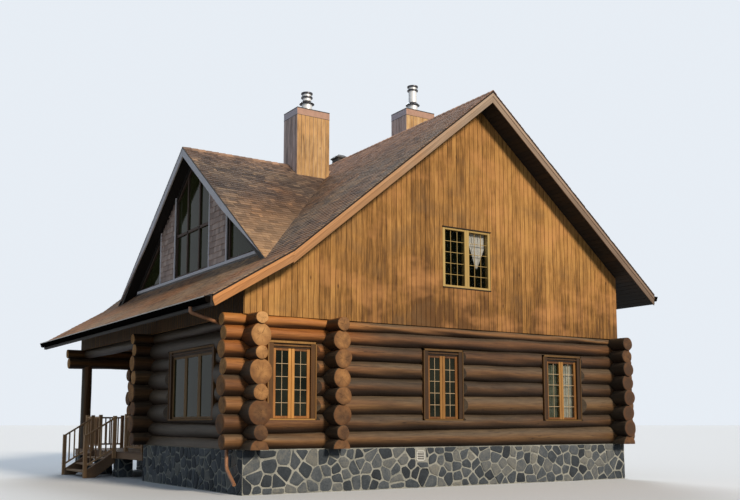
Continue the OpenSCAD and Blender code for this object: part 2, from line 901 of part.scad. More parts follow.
// The dormer's lights inside their frames
module dormer_lights_inner() {
    top = dormer_ridge_z - dormer_drop - (dormer_rail + frame_w) / cos(dormer_pitch);
    low = dormer_sill_z + frame_w;
    mid_w = dormer_mid_w - frame_w;
    side_x = dormer_side_x + frame_w;
    polygon([
        [-mid_w, low], [mid_w, low], [mid_w, top - mid_w * dormer_tan], [0, top],
        [-mid_w, top - mid_w * dormer_tan]
    ]);
    for (side = [0, 1]) mirror([side, 0])
        polygon([[side_x, low], [(top - low) / dormer_tan, low], [side_x, top - side_x * dormer_tan]]);
}

module glass_right() {
    color("#26323a") for (k = [0:len(side_windows) - 1])
        low_glass(right_x, side_windows[k], right_turn, side_widths[k]);
}

module glass_left() {
    color("#26323a") for (k = [left_first:len(side_windows) - 1])
        low_glass(left_x, side_windows[k], left_turn, side_widths[k]);
}

module glass_back() {
    color("#26323a") for (x = back_windows) low_glass(x, back_y, back_turn, window_w);
}

module glass_front() {
    color("#26323a") {
        low_glass(front_window_x, front_y, front_turn, front_window_w, front_lights);
        low_glass(porch_window_x, core_y, front_turn, window_w);
    }
}

module glass_upper() {
    color("#26323a") upper_window_places() glass(upper_w, upper_h, 2, no_planks, 0, frame_t);
}

module glass_dormer() {
    y = dormer_wall_y + board_wall_t / 2;
    color("#26323a") along_y(y - glass_t / 2, y + glass_t / 2) dormer_lights_inner();
}

// A rod from side to side of an opening, in the middle of the room behind the sashes.
// The children are the curtains on it, drawn with the rod as their X.
module hung(w, rod_y, out, room) {
    translate([0, rod_y, out]) {
        translate([-w / 2, 0, 0]) rotate([0, 90, 0]) cylinder(h = w, r = rod_d / 2);
        translate([0, 0, -fold_share * room / 2]) linear_extrude(fold_share * room) children();
    }
}

curtain_head = rod_below / 2;

module low_curtains() {
    w = side_last_w - 2 * fit_gap - 2 * jamb_w;
    rod_y = low_window_h - head_w - rod_below;
    room = plank_d - plank_out + sash_out - sash_t;
    panel_h = rod_y + curtain_head - sill_w - curtain_gap;
    in_wall(right_x, side_last_y, right_turn, sill_h)
        hung(w, rod_y, sash_out - sash_t - room / 2, room)
            for (side = [0, 1]) mirror([side, 0])
                translate([curtain_gap / 2, curtain_head - panel_h])
                    square([w / 2 - curtain_gap / 2 - curtain_gap, panel_h]);
}

module upper_curtain() {
    room = board_wall_t - frame_t;
    right = upper_w / 2 - frame_w;
    left = right - upper_curtain_w;
    foot = (left + right) / 2;
    l = upper_curtain_share * upper_window_h;
    in_wall(gable_out_x, upper_window_y, right_turn, log_wall_h + upper_sill_h)
        hung(upper_window_w, upper_window_h - rod_below, -frame_t - room / 2, room)
            polygon([
                [left, -left_side_share * l], [foot - upper_curtain_foot / 2, -l],
                [foot + upper_curtain_foot / 2, -l], [right, -right_side_share * l],
                [right, curtain_head], [left, curtain_head]
            ]);
}

module curtains() {
    color("#d8d8cc") {
        low_curtains();
        upper_curtain();
    }
}

module front_door() {
    color("#8a5a30")
        slab([door_x - door_w / 2 + fit_gap, core_y - door_t / 2, foundation_h],
             [door_x + door_w / 2 - fit_gap, core_y + door_t / 2, foundation_h + door_h - fit_gap]);
}

// Chimneys

module chimney(x, y, top) {
    low = [x - chimney_w / 2, y - chimney_d / 2, bend_z];
    high = [x + chimney_w / 2, y + chimney_d / 2, top - cap_h];
    color("#9a6a3c") difference() {
        slab(low, high);
        slab([low[0] + chimney_t, low[1] + chimney_t, 0],
             [high[0] - chimney_t, high[1] - chimney_t, top]);
        under_main_roof();
        along_y(-2 * bend_y, dormer_end_y + dormer_drop) dormer_outline(0, bend_z);
    }
}

module chimney_front() {
    chimney(front_chimney_x, front_chimney_y, front_chimney_z);
}

module chimney_back() {
    chimney(back_chimney_x, back_chimney_y, back_chimney_z);
}

front_chimney_y = ridge_y - front_chimney_in;
back_chimney_y = ridge_y + back_chimney_in;
front_chimney_z = ridge_z + front_chimney_rise;
back_chimney_z = ridge_z + back_chimney_rise;
cap_out = 15;

module cap(x, y, top) {
    slab([x - chimney_w / 2 - cap_out, y - chimney_d / 2 - cap_out, top - cap_h],
         [x + chimney_w / 2 + cap_out, y + chimney_d / 2 + cap_out, top]);
}

module chimney_caps() {
    color("#6b4a3a") {
        cap(front_chimney_x, front_chimney_y, front_chimney_z);
        cap(back_chimney_x, back_chimney_y, back_chimney_z);
    }
}

// Sizes of a flue's base, collar and cap rings
base_d = 300;
collar_d = 435;
collar_h = 90;
collar_z = 270;
ring_d = 335;
ring_h = 45;
ring_gap = 55;

// The pipe on its wider base, with a storm collar and the two rings of its rain cap
module flue(x, y, top, h) {
    r = flue_d / 2;
    ring_low = h - 2 * ring_h - ring_gap;
    translate([x, y, top]) rotate_extrude()
        polygon([
            [0, 0], [base_d / 2, 0], [base_d / 2, collar_z], [collar_d / 2, collar_z],
            [r, collar_z + collar_h],
            [r, ring_low], [ring_d / 2, ring_low], [ring_d / 2, ring_low + ring_h],
            [r, ring_low + ring_h], [r, h - ring_h], [ring_d / 2, h - ring_h], [ring_d / 2, h], [0, h]
        ]);
}

module flues() {
    color("silver") {
        flue(front_chimney_x, front_chimney_y, front_chimney_z, front_flue_h);
        flue(back_chimney_x, back_chimney_y, back_chimney_z, back_flue_h);
    }
}

roof_vent_y = ridge_y + roof_vent_in;

module roof_vent() {
    color("#3a3430") difference() {
        slab([-roof_vent_x - roof_vent_w / 2, roof_vent_y - roof_vent_w / 2, 0],
             [-roof_vent_x + roof_vent_w / 2, roof_vent_y + roof_vent_w / 2,
              roof_top(roof_vent_y) + roof_vent_h]);
        under_main_roof();
    }
}

// Porch

deck_left = left_x - 200;
deck_right = room_side_x - foundation_out;
deck_front = front_y - 230;
deck_back = core_y - foundation_out;

module porch_deck() {
    color("#7a6250")
        slab([deck_left, deck_front, deck_z - deck_t], [deck_right, deck_back, deck_z]);
}

pier_w = 400;
pier_xs = [left_x, -stair_left + pier_w / 2, -stair_right];

module porch_piers() {
    color("slategray") for (x = pier_xs)
        slab([x - pier_w / 2, front_y - pier_w / 2, 0],
             [x + pier_w / 2, front_y + pier_w / 2, deck_z - deck_t]);
}

// The post is hollowed at the top to carry the round log
module porch_post() {
    color("#9a6a3c") difference() {
        translate([left_x, front_y, deck_z])
            cylinder(d = post_d, h = foundation_h + y_log_z(last - 1, front_y) - post_d / 4 - deck_z);
        y_log(last - 1, left_x, front_y - post_d, front_y + post_d, fit_gap);
    }
}

rail_post = 90;
rail_t = 50;
baluster = 35;
baluster_step = 130;
rail_low = 100;

// A length of railing along X or Y, from 0 to l, on the deck at height 0
module railing(l) {
    for (z = [rail_low, rail_h - rail_t])
        slab([0, -rail_t / 2, z], [l, rail_t / 2, z + rail_t]);
    n = floor(l / baluster_step);
    for (k = [1:n - 1])
        slab([k * l / n - baluster / 2, -baluster / 2, rail_low + rail_t / 2],
             [k * l / n + baluster / 2, baluster / 2, rail_h - rail_t / 2]);
    for (x = [0, l])
        slab([x - rail_post / 2, -rail_post / 2, 0], [x + rail_post / 2, rail_post / 2, rail_h + rail_t]);
}

module porch_railing() {
    side_y = front_y + post_d / 2 + rail_post;
    color("#7a6250") {
        translate([left_x + post_d / 2 + rail_post, front_y, deck_z])
            railing(-stair_left - 2 * rail_post - (left_x + post_d / 2 + rail_post));
        translate([-stair_right + 2 * rail_post, front_y, deck_z])
            railing(room_side_x - log_end - 2 * rail_post - (-stair_right + 2 * rail_post));
        translate([left_x, side_y, deck_z])
            rotate([0, 0, 90]) railing(core_y - log_end - 2 * rail_post - side_y);
    }
}

step_h = deck_z / steps;
tread_t = 45;
tread_nose = 20;
tread_gap = 5;
stringer_t = 60;
stringer_out = 60;
stringer_h = 300;
stair_front = deck_front - (steps - 1) * step_run;
foot_y = stair_front - stringer_out;

module stair_treads() {
    color("#8a6f56") for (k = [1:steps - 1])
        slab([-stair_left + stringer_t, stair_front + (k - 1) * step_run - tread_nose, k * step_h - tread_t],
             [-stair_right - stringer_t, stair_front + k * step_run - tread_gap, k * step_h]);
}

module stair_stringers() {
    color("#8a6f56") for (x = [-stair_left, -stair_right - stringer_t])
        along_x(x, x + stringer_t)
            polygon([
                [foot_y, 0], [foot_y, step_h], [deck_front, deck_z],
                [deck_front, deck_z - stringer_h], [foot_y + stringer_h, 0]
            ]);
}

// A handrail and a low rail with balusters between them and a post at the foot. They
// stand beside the stringers, and the deck's end posts carry them at the top.
module stair_rail(x) {
    slope = (deck_z - step_h) / (deck_front - foot_y);
    function line(y) = step_h + (y - foot_y) * slope;
    module bar(low, high, y0, y1, t) {
        along_x(x - t / 2, x + t / 2)
            polygon([
                [y0, line(y0) + low], [y1, line(y1) + low], [y1, line(y1) + high], [y0, line(y0) + high]
            ]);
    }
    bar(rail_h - rail_t, rail_h, foot_y, deck_front, rail_t);
    bar(rail_low, rail_low + rail_t, foot_y, deck_front, rail_t);
    n = floor((deck_front - foot_y) / baluster_step);
    for (k = [1:n - 1]) {
        y = foot_y + k * (deck_front - foot_y) / n;
        bar(rail_low + rail_t / 2, rail_h - rail_t / 2, y - baluster / 2, y + baluster / 2, baluster);
    }
    slab([x - rail_post / 2, foot_y - rail_post / 2, 0],
         [x + rail_post / 2, foot_y + rail_post / 2, step_h + rail_h]);
    slab([x - rail_post / 2, deck_front - rail_post, deck_z - deck_t],
         [x + rail_post / 2, deck_front, deck_z + rail_h]);
}

module stair_rails() {
    color("#8a6f56") {
        stair_rail(-stair_left - rail_post / 2);
        stair_rail(-stair_right + rail_post / 2);
    }
}

// Gutters and downspout

gutter_below = 40;
gutter_wall = 6;

// A trough along an eave, from y on, with its rim at the height top
module trough(y, top) {
    difference() {
        slab([-roof_end_x, y, top - gutter_w], [roof_end_x, y + gutter_w, top]);
        slab([-roof_end_x + gutter_wall, y + gutter_wall, top - gutter_w + gutter_wall],
             [roof_end_x - gutter_wall, y + gutter_w - gutter_wall, top + gutter_w]);
    }
}

module gutters() {
    color("#3a2f2a") {
        trough(eave_front_y - trim_t - gutter_w, eave_front_z - gutter_below);
        trough(eave_back_y + trim_t, eave_back_z - gutter_below);
    }
}

// The downspout leaves the front gutter, slopes back to the logs beside the corner,
// runs down the wall and turns out at its foot
outlet_x = right_x - spout_in + 130;
outlet_y = eave_front_y - trim_t - gutter_w / 2;
outlet_z = eave_front_z - gutter_below - gutter_w;
outlet_h = 110;
spout_x = right_x - spout_in;
spout_y = front_y - spout_out;
spout_top_z = outlet_z - 3 * outlet_h;
spout_turn = 60;
spout_points = [
    [outlet_x, outlet_y, outlet_z],
    [outlet_x, outlet_y, outlet_z - outlet_h],
    [spout_x, spout_y, spout_top_z],
    [spout_x, spout_y, spout_foot_z],
    [spout_x + spout_reach, spout_y - spout_turn, spout_mouth_z]
];

// The elbows are a little wider than the pipe
elbow_share = 1.12;

module downspout() {
    r = downspout_d / 2;
    color("#8a4f30") {
        for (k = [1:len(spout_points) - 1])
            log_between(spout_points[k - 1], spout_points[k], r, r);
        for (k = [1:len(spout_points) - 2])
            translate(spout_points[k]) sphere(r = elbow_share * r);
    }
}

foundation_right();
foundation_left();
foundation_back();
foundation_front();
foundation_core();
foundation_room_side();
foundation_vent();
main_floor();
upper_floor();
log_wall_right();
log_wall_left();
log_wall_back();
log_wall_front();
log_wall_core();
log_wall_room_side();
gable_wall_right();
gable_wall_left();
knee_wall_front();
knee_wall_back();
roof_front_upper();
roof_front_lower();
roof_back();
rake_boards_right();
rake_boards_left();
fascia_front();
fascia_back();
dormer_wall();
dormer_roof_right();
dormer_roof_left();
dormer_rake_boards();
window_frames_right();
window_frames_left();
window_frames_back();
window_frame_front();
window_frames_upper();
window_frames_dormer();
glass_right();
glass_left();
glass_back();
glass_front();
glass_upper();
glass_dormer();
curtains();
front_door();
chimney_front();
chimney_back();
chimney_caps();
flues();
roof_vent();
porch_deck();
porch_piers();
porch_post();
porch_railing();
stair_treads();
stair_stringers();
stair_rails();
gutters();
downspout();
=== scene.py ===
import math
import random

import bmesh
import bpy
import numpy as np
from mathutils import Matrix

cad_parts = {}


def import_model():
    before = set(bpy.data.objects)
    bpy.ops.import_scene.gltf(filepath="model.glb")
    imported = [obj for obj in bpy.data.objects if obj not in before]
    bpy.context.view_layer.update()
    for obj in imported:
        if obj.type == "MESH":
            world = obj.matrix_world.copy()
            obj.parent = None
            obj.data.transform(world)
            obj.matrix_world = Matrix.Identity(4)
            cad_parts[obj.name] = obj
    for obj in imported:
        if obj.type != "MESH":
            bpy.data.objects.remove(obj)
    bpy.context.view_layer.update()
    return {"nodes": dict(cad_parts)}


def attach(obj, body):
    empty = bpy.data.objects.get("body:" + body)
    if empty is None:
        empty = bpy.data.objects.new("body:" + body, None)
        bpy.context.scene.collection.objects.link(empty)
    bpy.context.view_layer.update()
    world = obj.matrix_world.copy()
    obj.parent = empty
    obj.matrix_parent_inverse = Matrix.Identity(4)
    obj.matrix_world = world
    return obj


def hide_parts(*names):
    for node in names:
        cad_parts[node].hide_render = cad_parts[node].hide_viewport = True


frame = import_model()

# Main sizes of the house, in metres, as the CAD part has them
RIGHT_X, LEFT_X = 5.68, -5.68
FRONT_Y, CORE_Y, BACK_Y = -5.285, -3.385, 5.285
ROOM_X = 0.28
FOUND_H, LOG_H = 0.9, 2.75
LOGS_TOP = FOUND_H + LOG_H
FOUND_OUT = 0.19
LOG_END, INNER_END, RAGGED = 0.57, 0.29, 0.045
SCRIBE = 0.06

# Roof: the ridge, the bend of the front slope and the eaves, as (y, z)
MAIN_ANGLE, LOWER_ANGLE, DORMER_ANGLE = (math.radians(a) for a in (39.5, 30.9, 36.9))
MAIN_TAN, LOWER_TAN, DORMER_TAN = (math.tan(a) for a in (MAIN_ANGLE, LOWER_ANGLE, DORMER_ANGLE))
RIDGE = (0.761, 9.399)
BEND = (-4.63, RIDGE[1] - 5.391 * MAIN_TAN)
EAVE_FRONT = (-6.39, BEND[1] - 1.76 * LOWER_TAN)
EAVE_BACK = (6.285, RIDGE[1] - 5.524 * MAIN_TAN)
ROOF_T, DORMER_T = 0.195, 0.16
MAIN_DROP, LOWER_DROP = ROOF_T / math.cos(MAIN_ANGLE), ROOF_T / math.cos(LOWER_ANGLE)
SLOPES = [(EAVE_FRONT, BEND, LOWER_TAN, LOWER_DROP), (BEND, RIDGE, MAIN_TAN, MAIN_DROP),
          (RIDGE, EAVE_BACK, MAIN_TAN, MAIN_DROP)]
GABLE_X, ROOF_X, TRIM_T = 5.78, 6.34, 0.04
GABLES = ("right", 1), ("left", -1)
KNEE_OUT = 0.165

# Dormer
DORMER_Z = RIDGE[1] - 0.66
DORMER_FRONT_Y, DORMER_WALL_Y = BEND[0] + 0.055, BEND[0] + 0.35
DORMER_END_Y = RIDGE[0] - 0.66 / MAIN_TAN
DORMER_DROP = DORMER_T / math.cos(DORMER_ANGLE)
DORMER_HALF = (DORMER_Z - BEND[1]) / DORMER_TAN
DORMER_RAIL, DORMER_MID, DORMER_SIDE = 0.1, 1.18, 2.3

# Windows in the logs: the height of the opening, the planks around the sashes
SILL_H, HEAD_H = 0.59, 2.225
JAMB, HEAD, SILL = 0.135, 0.15, 0.035
PLANK_OUT, PLANK_D = 0.18, 0.2
SASH_OUT, SASH_T, STILE, RAIL, SASH_GAP = 0.12, 0.06, 0.07, 0.05, 0.004
SASH_EDGE, RAIL_BACK, BAR_EDGE, PLANK_EDGE = 0.005, 0.002, 0.002, 0.003
GLASS_T = 0.024
BAR_W, BAR_IN, BAR_OUT = 0.011, 0.004, 0.01
FIT = 0.003
SMALL_W, WIDE_W = 1.155, 2.66
SIDE_WINDOWS = [(-4.36, SMALL_W), (-0.4175, SMALL_W), (3.345, 1.3)]
WINDOWS = {
    "right": [("right", RIGHT_X, y, w) for y, w in SIDE_WINDOWS],
    "left": [("left", LEFT_X, y, w) for y, w in SIDE_WINDOWS[1:]],
    "back": [("back", x, BACK_Y, SMALL_W) for x in (-3.87, 0.0, 3.87)],
    "front": [("front", 3.0, FRONT_Y, WIDE_W)],
    "porch": [("front", LEFT_X + 1.54, CORE_Y, SMALL_W)],
}
DOOR_X, DOOR_W, DOOR_H = -1.5, 0.95, 2.05
UPPER_Y, UPPER_W, UPPER_Z, UPPER_H = 0.356, 1.45, LOGS_TOP + 0.96, 1.425


# Meshes

class Shape:
    """Vertices and faces of a piece, with a tone for each vertex and a paint for each face. marks
    are the vertices' places on sawn ends, for end grain."""

    def __init__(self):
        self.points, self.faces, self.tones, self.paints, self.marks = [], [], [], [], []

    def add(self, points, faces, tone=0.5, paint=0):
        """paint is one for all faces, or a list."""
        first = len(self.points)
        self.points.extend(points)
        self.faces.extend([[i + first for i in face] for face in faces])
        self.tones.extend([tone] * len(points))
        self.paints.extend(paint if isinstance(paint, list) else [paint] * len(faces))

    def piece(self, name, slot, materials, replaces=(), sharp=None, bevel=0.0):
        """Makes the piece, which rides on the house. sharp is the angle from which edges stay
        sharp, or None for flat faces."""
        mesh = bpy.data.meshes.new(name)
        mesh.from_pydata(self.points, [], self.faces)
        mesh.attributes.new("tone", "FLOAT", "POINT").data.foreach_set("value", self.tones)
        if self.marks:
            data = mesh.attributes.new("disc", "FLOAT_VECTOR", "POINT").data
            data.foreach_set("vector", np.array(self.marks, float).ravel())
        for material in materials:
            mesh.materials.append(material)
        mesh.polygons.foreach_set("material_index", self.paints)
        mesh.validate()
        mesh.update()
        if sharp is not None:
            mesh.polygons.foreach_set("use_smooth", [True] * len(mesh.polygons))
            mesh.set_sharp_from_angle(angle=math.radians(sharp))
        piece = placed(name, mesh)
        if bevel:
            edge = piece.modifiers.new("bevel", "BEVEL")
            edge.width, edge.segments, edge.limit_method = bevel, 1, "ANGLE"
        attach(piece, "root")
        if replaces:
            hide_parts(*replaces)
        return piece


def placed(name, data):
    """A new object in the scene."""
    thing = bpy.data.objects.new(name, data)
    bpy.context.collection.objects.link(thing)
    return thing


class Spot:
    """A plane in the house: u across, v up and w out of it."""

    def __init__(self, origin, across, up, out):
        self.origin, self.across, self.up, self.out = (np.array(a, float) for a in (origin, across, up, out))

    def __call__(self, u, v, w):
        return tuple(self.origin + u * self.across + v * self.up + w * self.out)


SIDES = {"right": ((0, 1, 0), (1, 0, 0)), "left": ((0, -1, 0), (-1, 0, 0)),
         "front": ((1, 0, 0), (0, -1, 0)), "back": ((-1, 0, 0), (0, 1, 0))}
BOX_FACES = [(0, 3, 2, 1), (4, 5, 6, 7), (0, 1, 5, 4), (1, 2, 6, 5), (2, 3, 7, 6), (3, 0, 4, 7)]
LAP_FACES = [(0, 1, 2, 3), (3, 2, 6, 7), (0, 3, 7, 4), (1, 5, 6, 2)]
HOUSE = Spot((0, 0, 0), (1, 0, 0), (0, 1, 0), (0, 0, 1))


def facing(side, x, y, z=0):
    """The plane of a wall that faces right, left, front or back."""
    across, out = SIDES[side]
    return Spot((x, y, z), across, (0, 0, 1), out)


def block(shape, spot, low, high, tone=0.5, paint=0):
    """A box between two corners in a plane's u, v and w."""
    (u0, v0, w0), (u1, v1, w1) = low, high
    corners = [spot(u, v, w) for w in (w0, w1) for u, v in ((u0, v0), (u1, v0), (u1, v1), (u0, v1))]
    shape.add(corners, BOX_FACES, tone, paint)


def box(shape, low, high, tone=0.5, paint=0):
    block(shape, HOUSE, low, high, tone, paint)


def lap(shape, spot, u0, u1, low, high, thick, thin, tone, faces=LAP_FACES):
    """A shingle from u0 to u1 and low to high: thick at its foot, and thin at its head."""
    points = [spot(u, v, w) for v, t in ((low, thick), (high, thin))
              for u, w in ((u0, 0), (u1, 0), (u1, t), (u0, t))]
    shape.add(points, faces, tone)


def inset(outline, d):
    """The convex outline, drawn in by d."""
    points = []
    n = len(outline)
    for i in range(n):
        a, b, c = (np.array(outline[(i + k) % n]) for k in (-1, 0, 1))
        e1, e2 = b - a, c - b
        n1 = np.array([-e1[1], e1[0]]) / (np.hypot(*e1) + 1e-9)
        n2 = np.array([-e2[1], e2[0]]) / (np.hypot(*e2) + 1e-9)
        points.append(tuple(b + d * (n1 + n2) / max(1 + n1 @ n2, 0.3)))
    return points


def ring_faces(rings, sides, ends=(True, True)):
    """The faces between rings of points, and those that close the first and the last ring."""
    last = (rings - 1) * sides
    faces = [(row + k, row + (k + 1) % sides, row + sides + (k + 1) % sides, row + sides + k)
             for row in range(0, last, sides) for k in range(sides)]
    if ends[0]:
        faces.append(tuple(range(sides))[::-1])
    if ends[1]:
        faces.append(tuple(range(last, last + sides)))
    return faces


def slab(shape, spot, outline, w0, w1, edge, tone=0.5, paint=0):
    """A flat solid over an outline that runs anticlockwise, from w0 to w1, with its outer
    edges chamfered by edge."""
    rings = (outline, w0), (outline, w1 - edge), (inset(outline, edge), w1)
    points = [spot(u, v, w) for ring, w in rings for u, v in ring]
    shape.add(points, ring_faces(len(rings), len(outline)), tone, paint)


def plate(shape, spot, low, high, w0, w1, edge, tone=0.5, paint=0):
    """A slab over the rectangle between two corners."""
    (u0, v0), (u1, v1) = low, high
    slab(shape, spot, [(u0, v0), (u1, v0), (u1, v1), (u0, v1)], w0, w1, edge, tone, paint)


def circle(sides):
    return [2 * math.pi * k / sides for k in range(sides)]


def mirrored(outline):
    """The outline on the other side of u = 0, still anticlockwise."""
    return [(-u, v) for u, v in outline][::-1]


def clamped(share):
    return min(max(share, 0), 1)


def lathe(shape, centre, profile, sides=40, tone=0.5, paint=0):
    """A solid of revolution about the vertical through centre."""
    x, y, z = centre
    points = [(x + r * math.cos(a), y + r * math.sin(a), z + h) for r, h in profile for a in circle(sides)]
    shape.add(points, ring_faces(len(profile), sides), tone, paint)


def sweep(shape, path, radius, sides=20, tone=0.5):
    """A round pipe along a path of points."""
    path = [np.array(p, float) for p in path]
    side = None
    points = []
    for k, p in enumerate(path):
        ahead = path[min(k + 1, len(path) - 1)] - path[max(k - 1, 0)]
        ahead /= np.linalg.norm(ahead)
        if side is None:
            side = np.cross(ahead, (0, 0, 1.0) if abs(ahead[2]) < 0.9 else (1.0, 0, 0))
        side = side - ahead * (side @ ahead)
        side /= np.linalg.norm(side)
        up = np.cross(ahead, side)
        points += [tuple(p + radius * (side * math.cos(a) + up * math.sin(a))) for a in circle(sides)]
    shape.add(points, ring_faces(len(path), sides), tone)


def rounded(points, radius):
    """The path through the points, with its corners rounded."""
    steps = 6
    points = [np.array(p, float) for p in points]
    path = [points[0]]
    for a, b, c in zip(points, points[1:], points[2:]):
        back, on = np.linalg.norm(a - b), np.linalg.norm(c - b)
        cut = min(radius, back * 0.45, on * 0.45)
        start, end = b + (a - b) / back * cut, b + (c - b) / on * cut
        for t in (k / steps for k in range(steps + 1)):
            path.append(start * (1 - t) ** 2 + b * 2 * t * (1 - t) + end * t ** 2)
    return path + [points[-1]]


# Materials

def linear(screen):
    """A colour written as on screen, as the linear values that shaders take."""
    parts = [int(screen[i:i + 2], 16) / 255 for i in (0, 2, 4)]
    return tuple(c / 12.92 if c <= 0.04045 else ((c + 0.055) / 1.055) ** 2.4 for c in parts) + (1.0,)


class Value:
    """A node's output, which can be reckoned with as a number can."""

    def __init__(self, nodes, socket):
        self.nodes, self.socket = nodes, socket

    def math(self, operation, other=0.0):
        return self.nodes.node("Math", {0: self, 1: other}, operation=operation)

    def __add__(self, other):
        return self.math("ADD", other)

    def __sub__(self, other):
        return self.math("SUBTRACT", other)

    def __mul__(self, other):
        return self.math("MULTIPLY", other)

    def __pow__(self, other):
        return self.math("POWER", other)

    def __neg__(self):
        return self * -1.0

    def __abs__(self):
        return self.math("ABSOLUTE")

    def between(self, start, end, low=0.0, high=1.0):
        """low at start, high at end, and evenly between them."""
        return self.nodes.node("MapRange", {"Value": self, 1: start, 2: end, 3: low, 4: high})

    def ramp(self, *stops):
        """A colour or a number for each stop, and evenly between them."""
        ramp = self.nodes.node("ValToRGB", {"Fac": self})
        parts = ramp.socket.node.color_ramp.elements
        while len(parts) < len(stops):
            parts.new(0.5)
        for part, (place, look) in zip(parts, stops):
            part.position = place
            part.color = linear(look) if isinstance(look, str) else (look, look, look, 1)
        return ramp


class Nodes:
    """The nodes of a material or of the world."""

    def __init__(self, owner):
        owner.use_nodes = True
        self.tree = owner.node_tree

    def node(self, kind, inputs=None, output=0, **settings):
        """An output of a new node. Its inputs are given by name or place, and colours as text."""
        node = self.tree.nodes.new("ShaderNode" + kind)
        for key, value in settings.items():
            setattr(node, key, value)
        for key, value in (inputs or {}).items():
            if isinstance(value, Value):
                self.tree.links.new(value.socket, node.inputs[key])
            else:
                node.inputs[key].default_value = linear(value) if isinstance(value, str) else value
        return Value(self, node.outputs[output])

    def seen(self):
        """1 where the camera sees it, in a mirror or through glass too, and 0 for other light."""
        camera, gloss, through = (self.node("LightPath", output=f"Is {ray} Ray")
                                  for ray in ("Camera", "Glossy", "Transmission"))
        return camera.math("MAXIMUM", gloss).math("MAXIMUM", through)


class Paint(Nodes):
    """The nodes of one material."""

    def __init__(self, name, rough=0.6, metal=0.0, specular=0.3):
        self.material = bpy.data.materials.new(name)
        super().__init__(self.material)
        self.shader = self.tree.nodes["Principled BSDF"]
        for key, value in (("Roughness", rough), ("Metallic", metal), ("Specular IOR Level", specular)):
            self.shader.inputs[key].default_value = value

    def position(self, scale=(1, 1, 1)):
        place = self.node("TexCoord", output="Object")
        return self.node("Mapping", {"Vector": place, "Scale": scale})

    def split(self, vector):
        parts = self.node("SeparateXYZ", {0: vector}).socket.node
        return [Value(self, output) for output in parts.outputs]

    def spot(self):
        """The x, y and z of the point."""
        return self.split(self.position())

    def normal(self):
        """The x, y and z of the direction that the surface faces."""
        return self.split(self.node("NewGeometry", output="Normal"))

    def tone(self, spread=40.0):
        """The piece's tone, and a seed that goes with it."""
        tone = self.node("Attribute", output="Fac", attribute_name="tone")
        return tone, tone * spread

    def noise(self, vector, scale, detail=3.0, seed=None, rough=0.55):
        inputs = {"Vector": vector, "Scale": scale, "Detail": detail, "Roughness": rough}
        if seed is None:
            return self.node("TexNoise", inputs)
        return self.node("TexNoise", {**inputs, "W": seed}, noise_dimensions="4D")

    def mix(self, share, a, b, blend="MIX"):
        return self.node("Mix", {0: share, 6: a, 7: b}, 2, data_type="RGBA", blend_type=blend)

    def finish(self, colour, height=None, strength=0.3, distance=0.01):
        """Gives the material its colour and its bump."""
        self.tree.links.new(colour.socket, self.shader.inputs["Base Color"])
        if height:
            bump = self.node("Bump", {"Height": height, "Strength": strength, "Distance": distance})
            self.tree.links.new(bump.socket, self.shader.inputs["Normal"])
        return self.material


GRAIN = {"x": (0.07, 1, 1), "y": (1, 0.07, 1), "z": (1, 1, 0.07)}
CHECK_GRAIN = {"x": (0.025, 1, 1), "y": (1, 0.025, 1), "z": (1, 1, 0.025)}
WOOD_SCALE = 38.0


def wood(name, along, colours, rough=0.68, tone_share=0.55, far=1.0):
    """Wood with its grain along an axis, in three colours from its darkest to its lightest. far
    is the share of its brightness that is left away from the sunlit front corner: painted shade."""
    paint = Paint(name, rough)
    tone, seed = paint.tone()
    place = paint.position(GRAIN[along])
    grain = paint.noise(place, WOOD_SCALE, 4.0, seed, 0.65)
    broad = paint.noise(place, WOOD_SCALE / 9, 2.0, seed)
    patch = paint.noise(paint.position(), 0.9, 2.0)
    value = tone * tone_share + grain * 0.45 + broad * 0.35 + patch * 0.25 - (tone_share / 2 + 0.025)
    colour = value.ramp(*zip((0.2, 0.5, 0.8), colours.split()))
    # Painted shade: away from the sunlit front corner, the colour is darkened by far.
    if far < 1:
        x, y, _ = paint.spot()
        near = y.between(-2.0, -4.0) * x.between(4.0, 5.2)
        colour = paint.mix(1.0, colour, near.between(0.0, 1.0, far), "MULTIPLY")
    return paint.finish(colour, grain, 0.35, 0.004)


def siding(name, shades, warm, grey, front):
    """Weathered upright boards with knots and dark runs, in warm patches of painted dappled sunlight
    and grey patches of painted dappled shade. shades go from the darkest to the lightest, and
    front is a painted shade colour for the side that faces the front."""
    paint = Paint(name, 0.75)
    tone, seed = paint.tone()
    grain = paint.noise(paint.position((1, 1, 0.05)), 46.0, 4.0, seed, 0.65)
    runs = paint.noise(paint.position((1, 1, 0.16)), 11.0, 3.0, seed, 0.6)
    _, y, z = paint.spot()
    # Painted light and shade: darker low on the gables, except at their front part, and lighter towards the
    # back and the front.
    low = z.between(3.7, 5.8, -0.28, 0.0) * y.between(-4.0, -1.0)
    behind, ahead = y.between(-0.5, 2.5, 0.0, 0.11), y.between(-2.5, -4.5, 0.0, 0.07)
    value = grain * 0.75 + runs * 0.7 + tone * 0.18 - 0.315 + low + behind + ahead
    colour = value.ramp(*zip((0.26, 0.42, 0.54, 0.72), shades.split()))
    # Painted dappled light: warm patches of sunlight and grey patches of shade.
    patch = paint.noise(paint.position((0.8, 0.8, 1.3)), 0.95, 3.0, None, 0.6)
    colour = paint.mix(patch.ramp((0.5, 0.0), (0.68, 0.55)), colour, warm)
    colour = paint.mix(patch.ramp((0.3, 0.45), (0.46, 0.0)), colour, grey)
    cells = paint.node("TexVoronoi", {"Vector": paint.position((1, 1, 0.45)), "Scale": 5.0, "W": seed},
                       voronoi_dimensions="4D")
    knots = cells.ramp((0.06, 0.85), (0.15, 0.0))
    # Painted shade: the side that faces the front turns to the front colour.
    turned = -paint.normal()[1]
    shaded = paint.mix(1.0, front, value.ramp((0.3, "9a9a9a"), (0.6, "ffffff")), "MULTIPLY")
    colour = paint.mix(turned.ramp((0.5, 0.0), (0.9, 0.88)), colour, shaded)
    return paint.finish(paint.mix(knots, colour, "4c2f16"), grain - knots * 0.4, 0.4, 0.003)


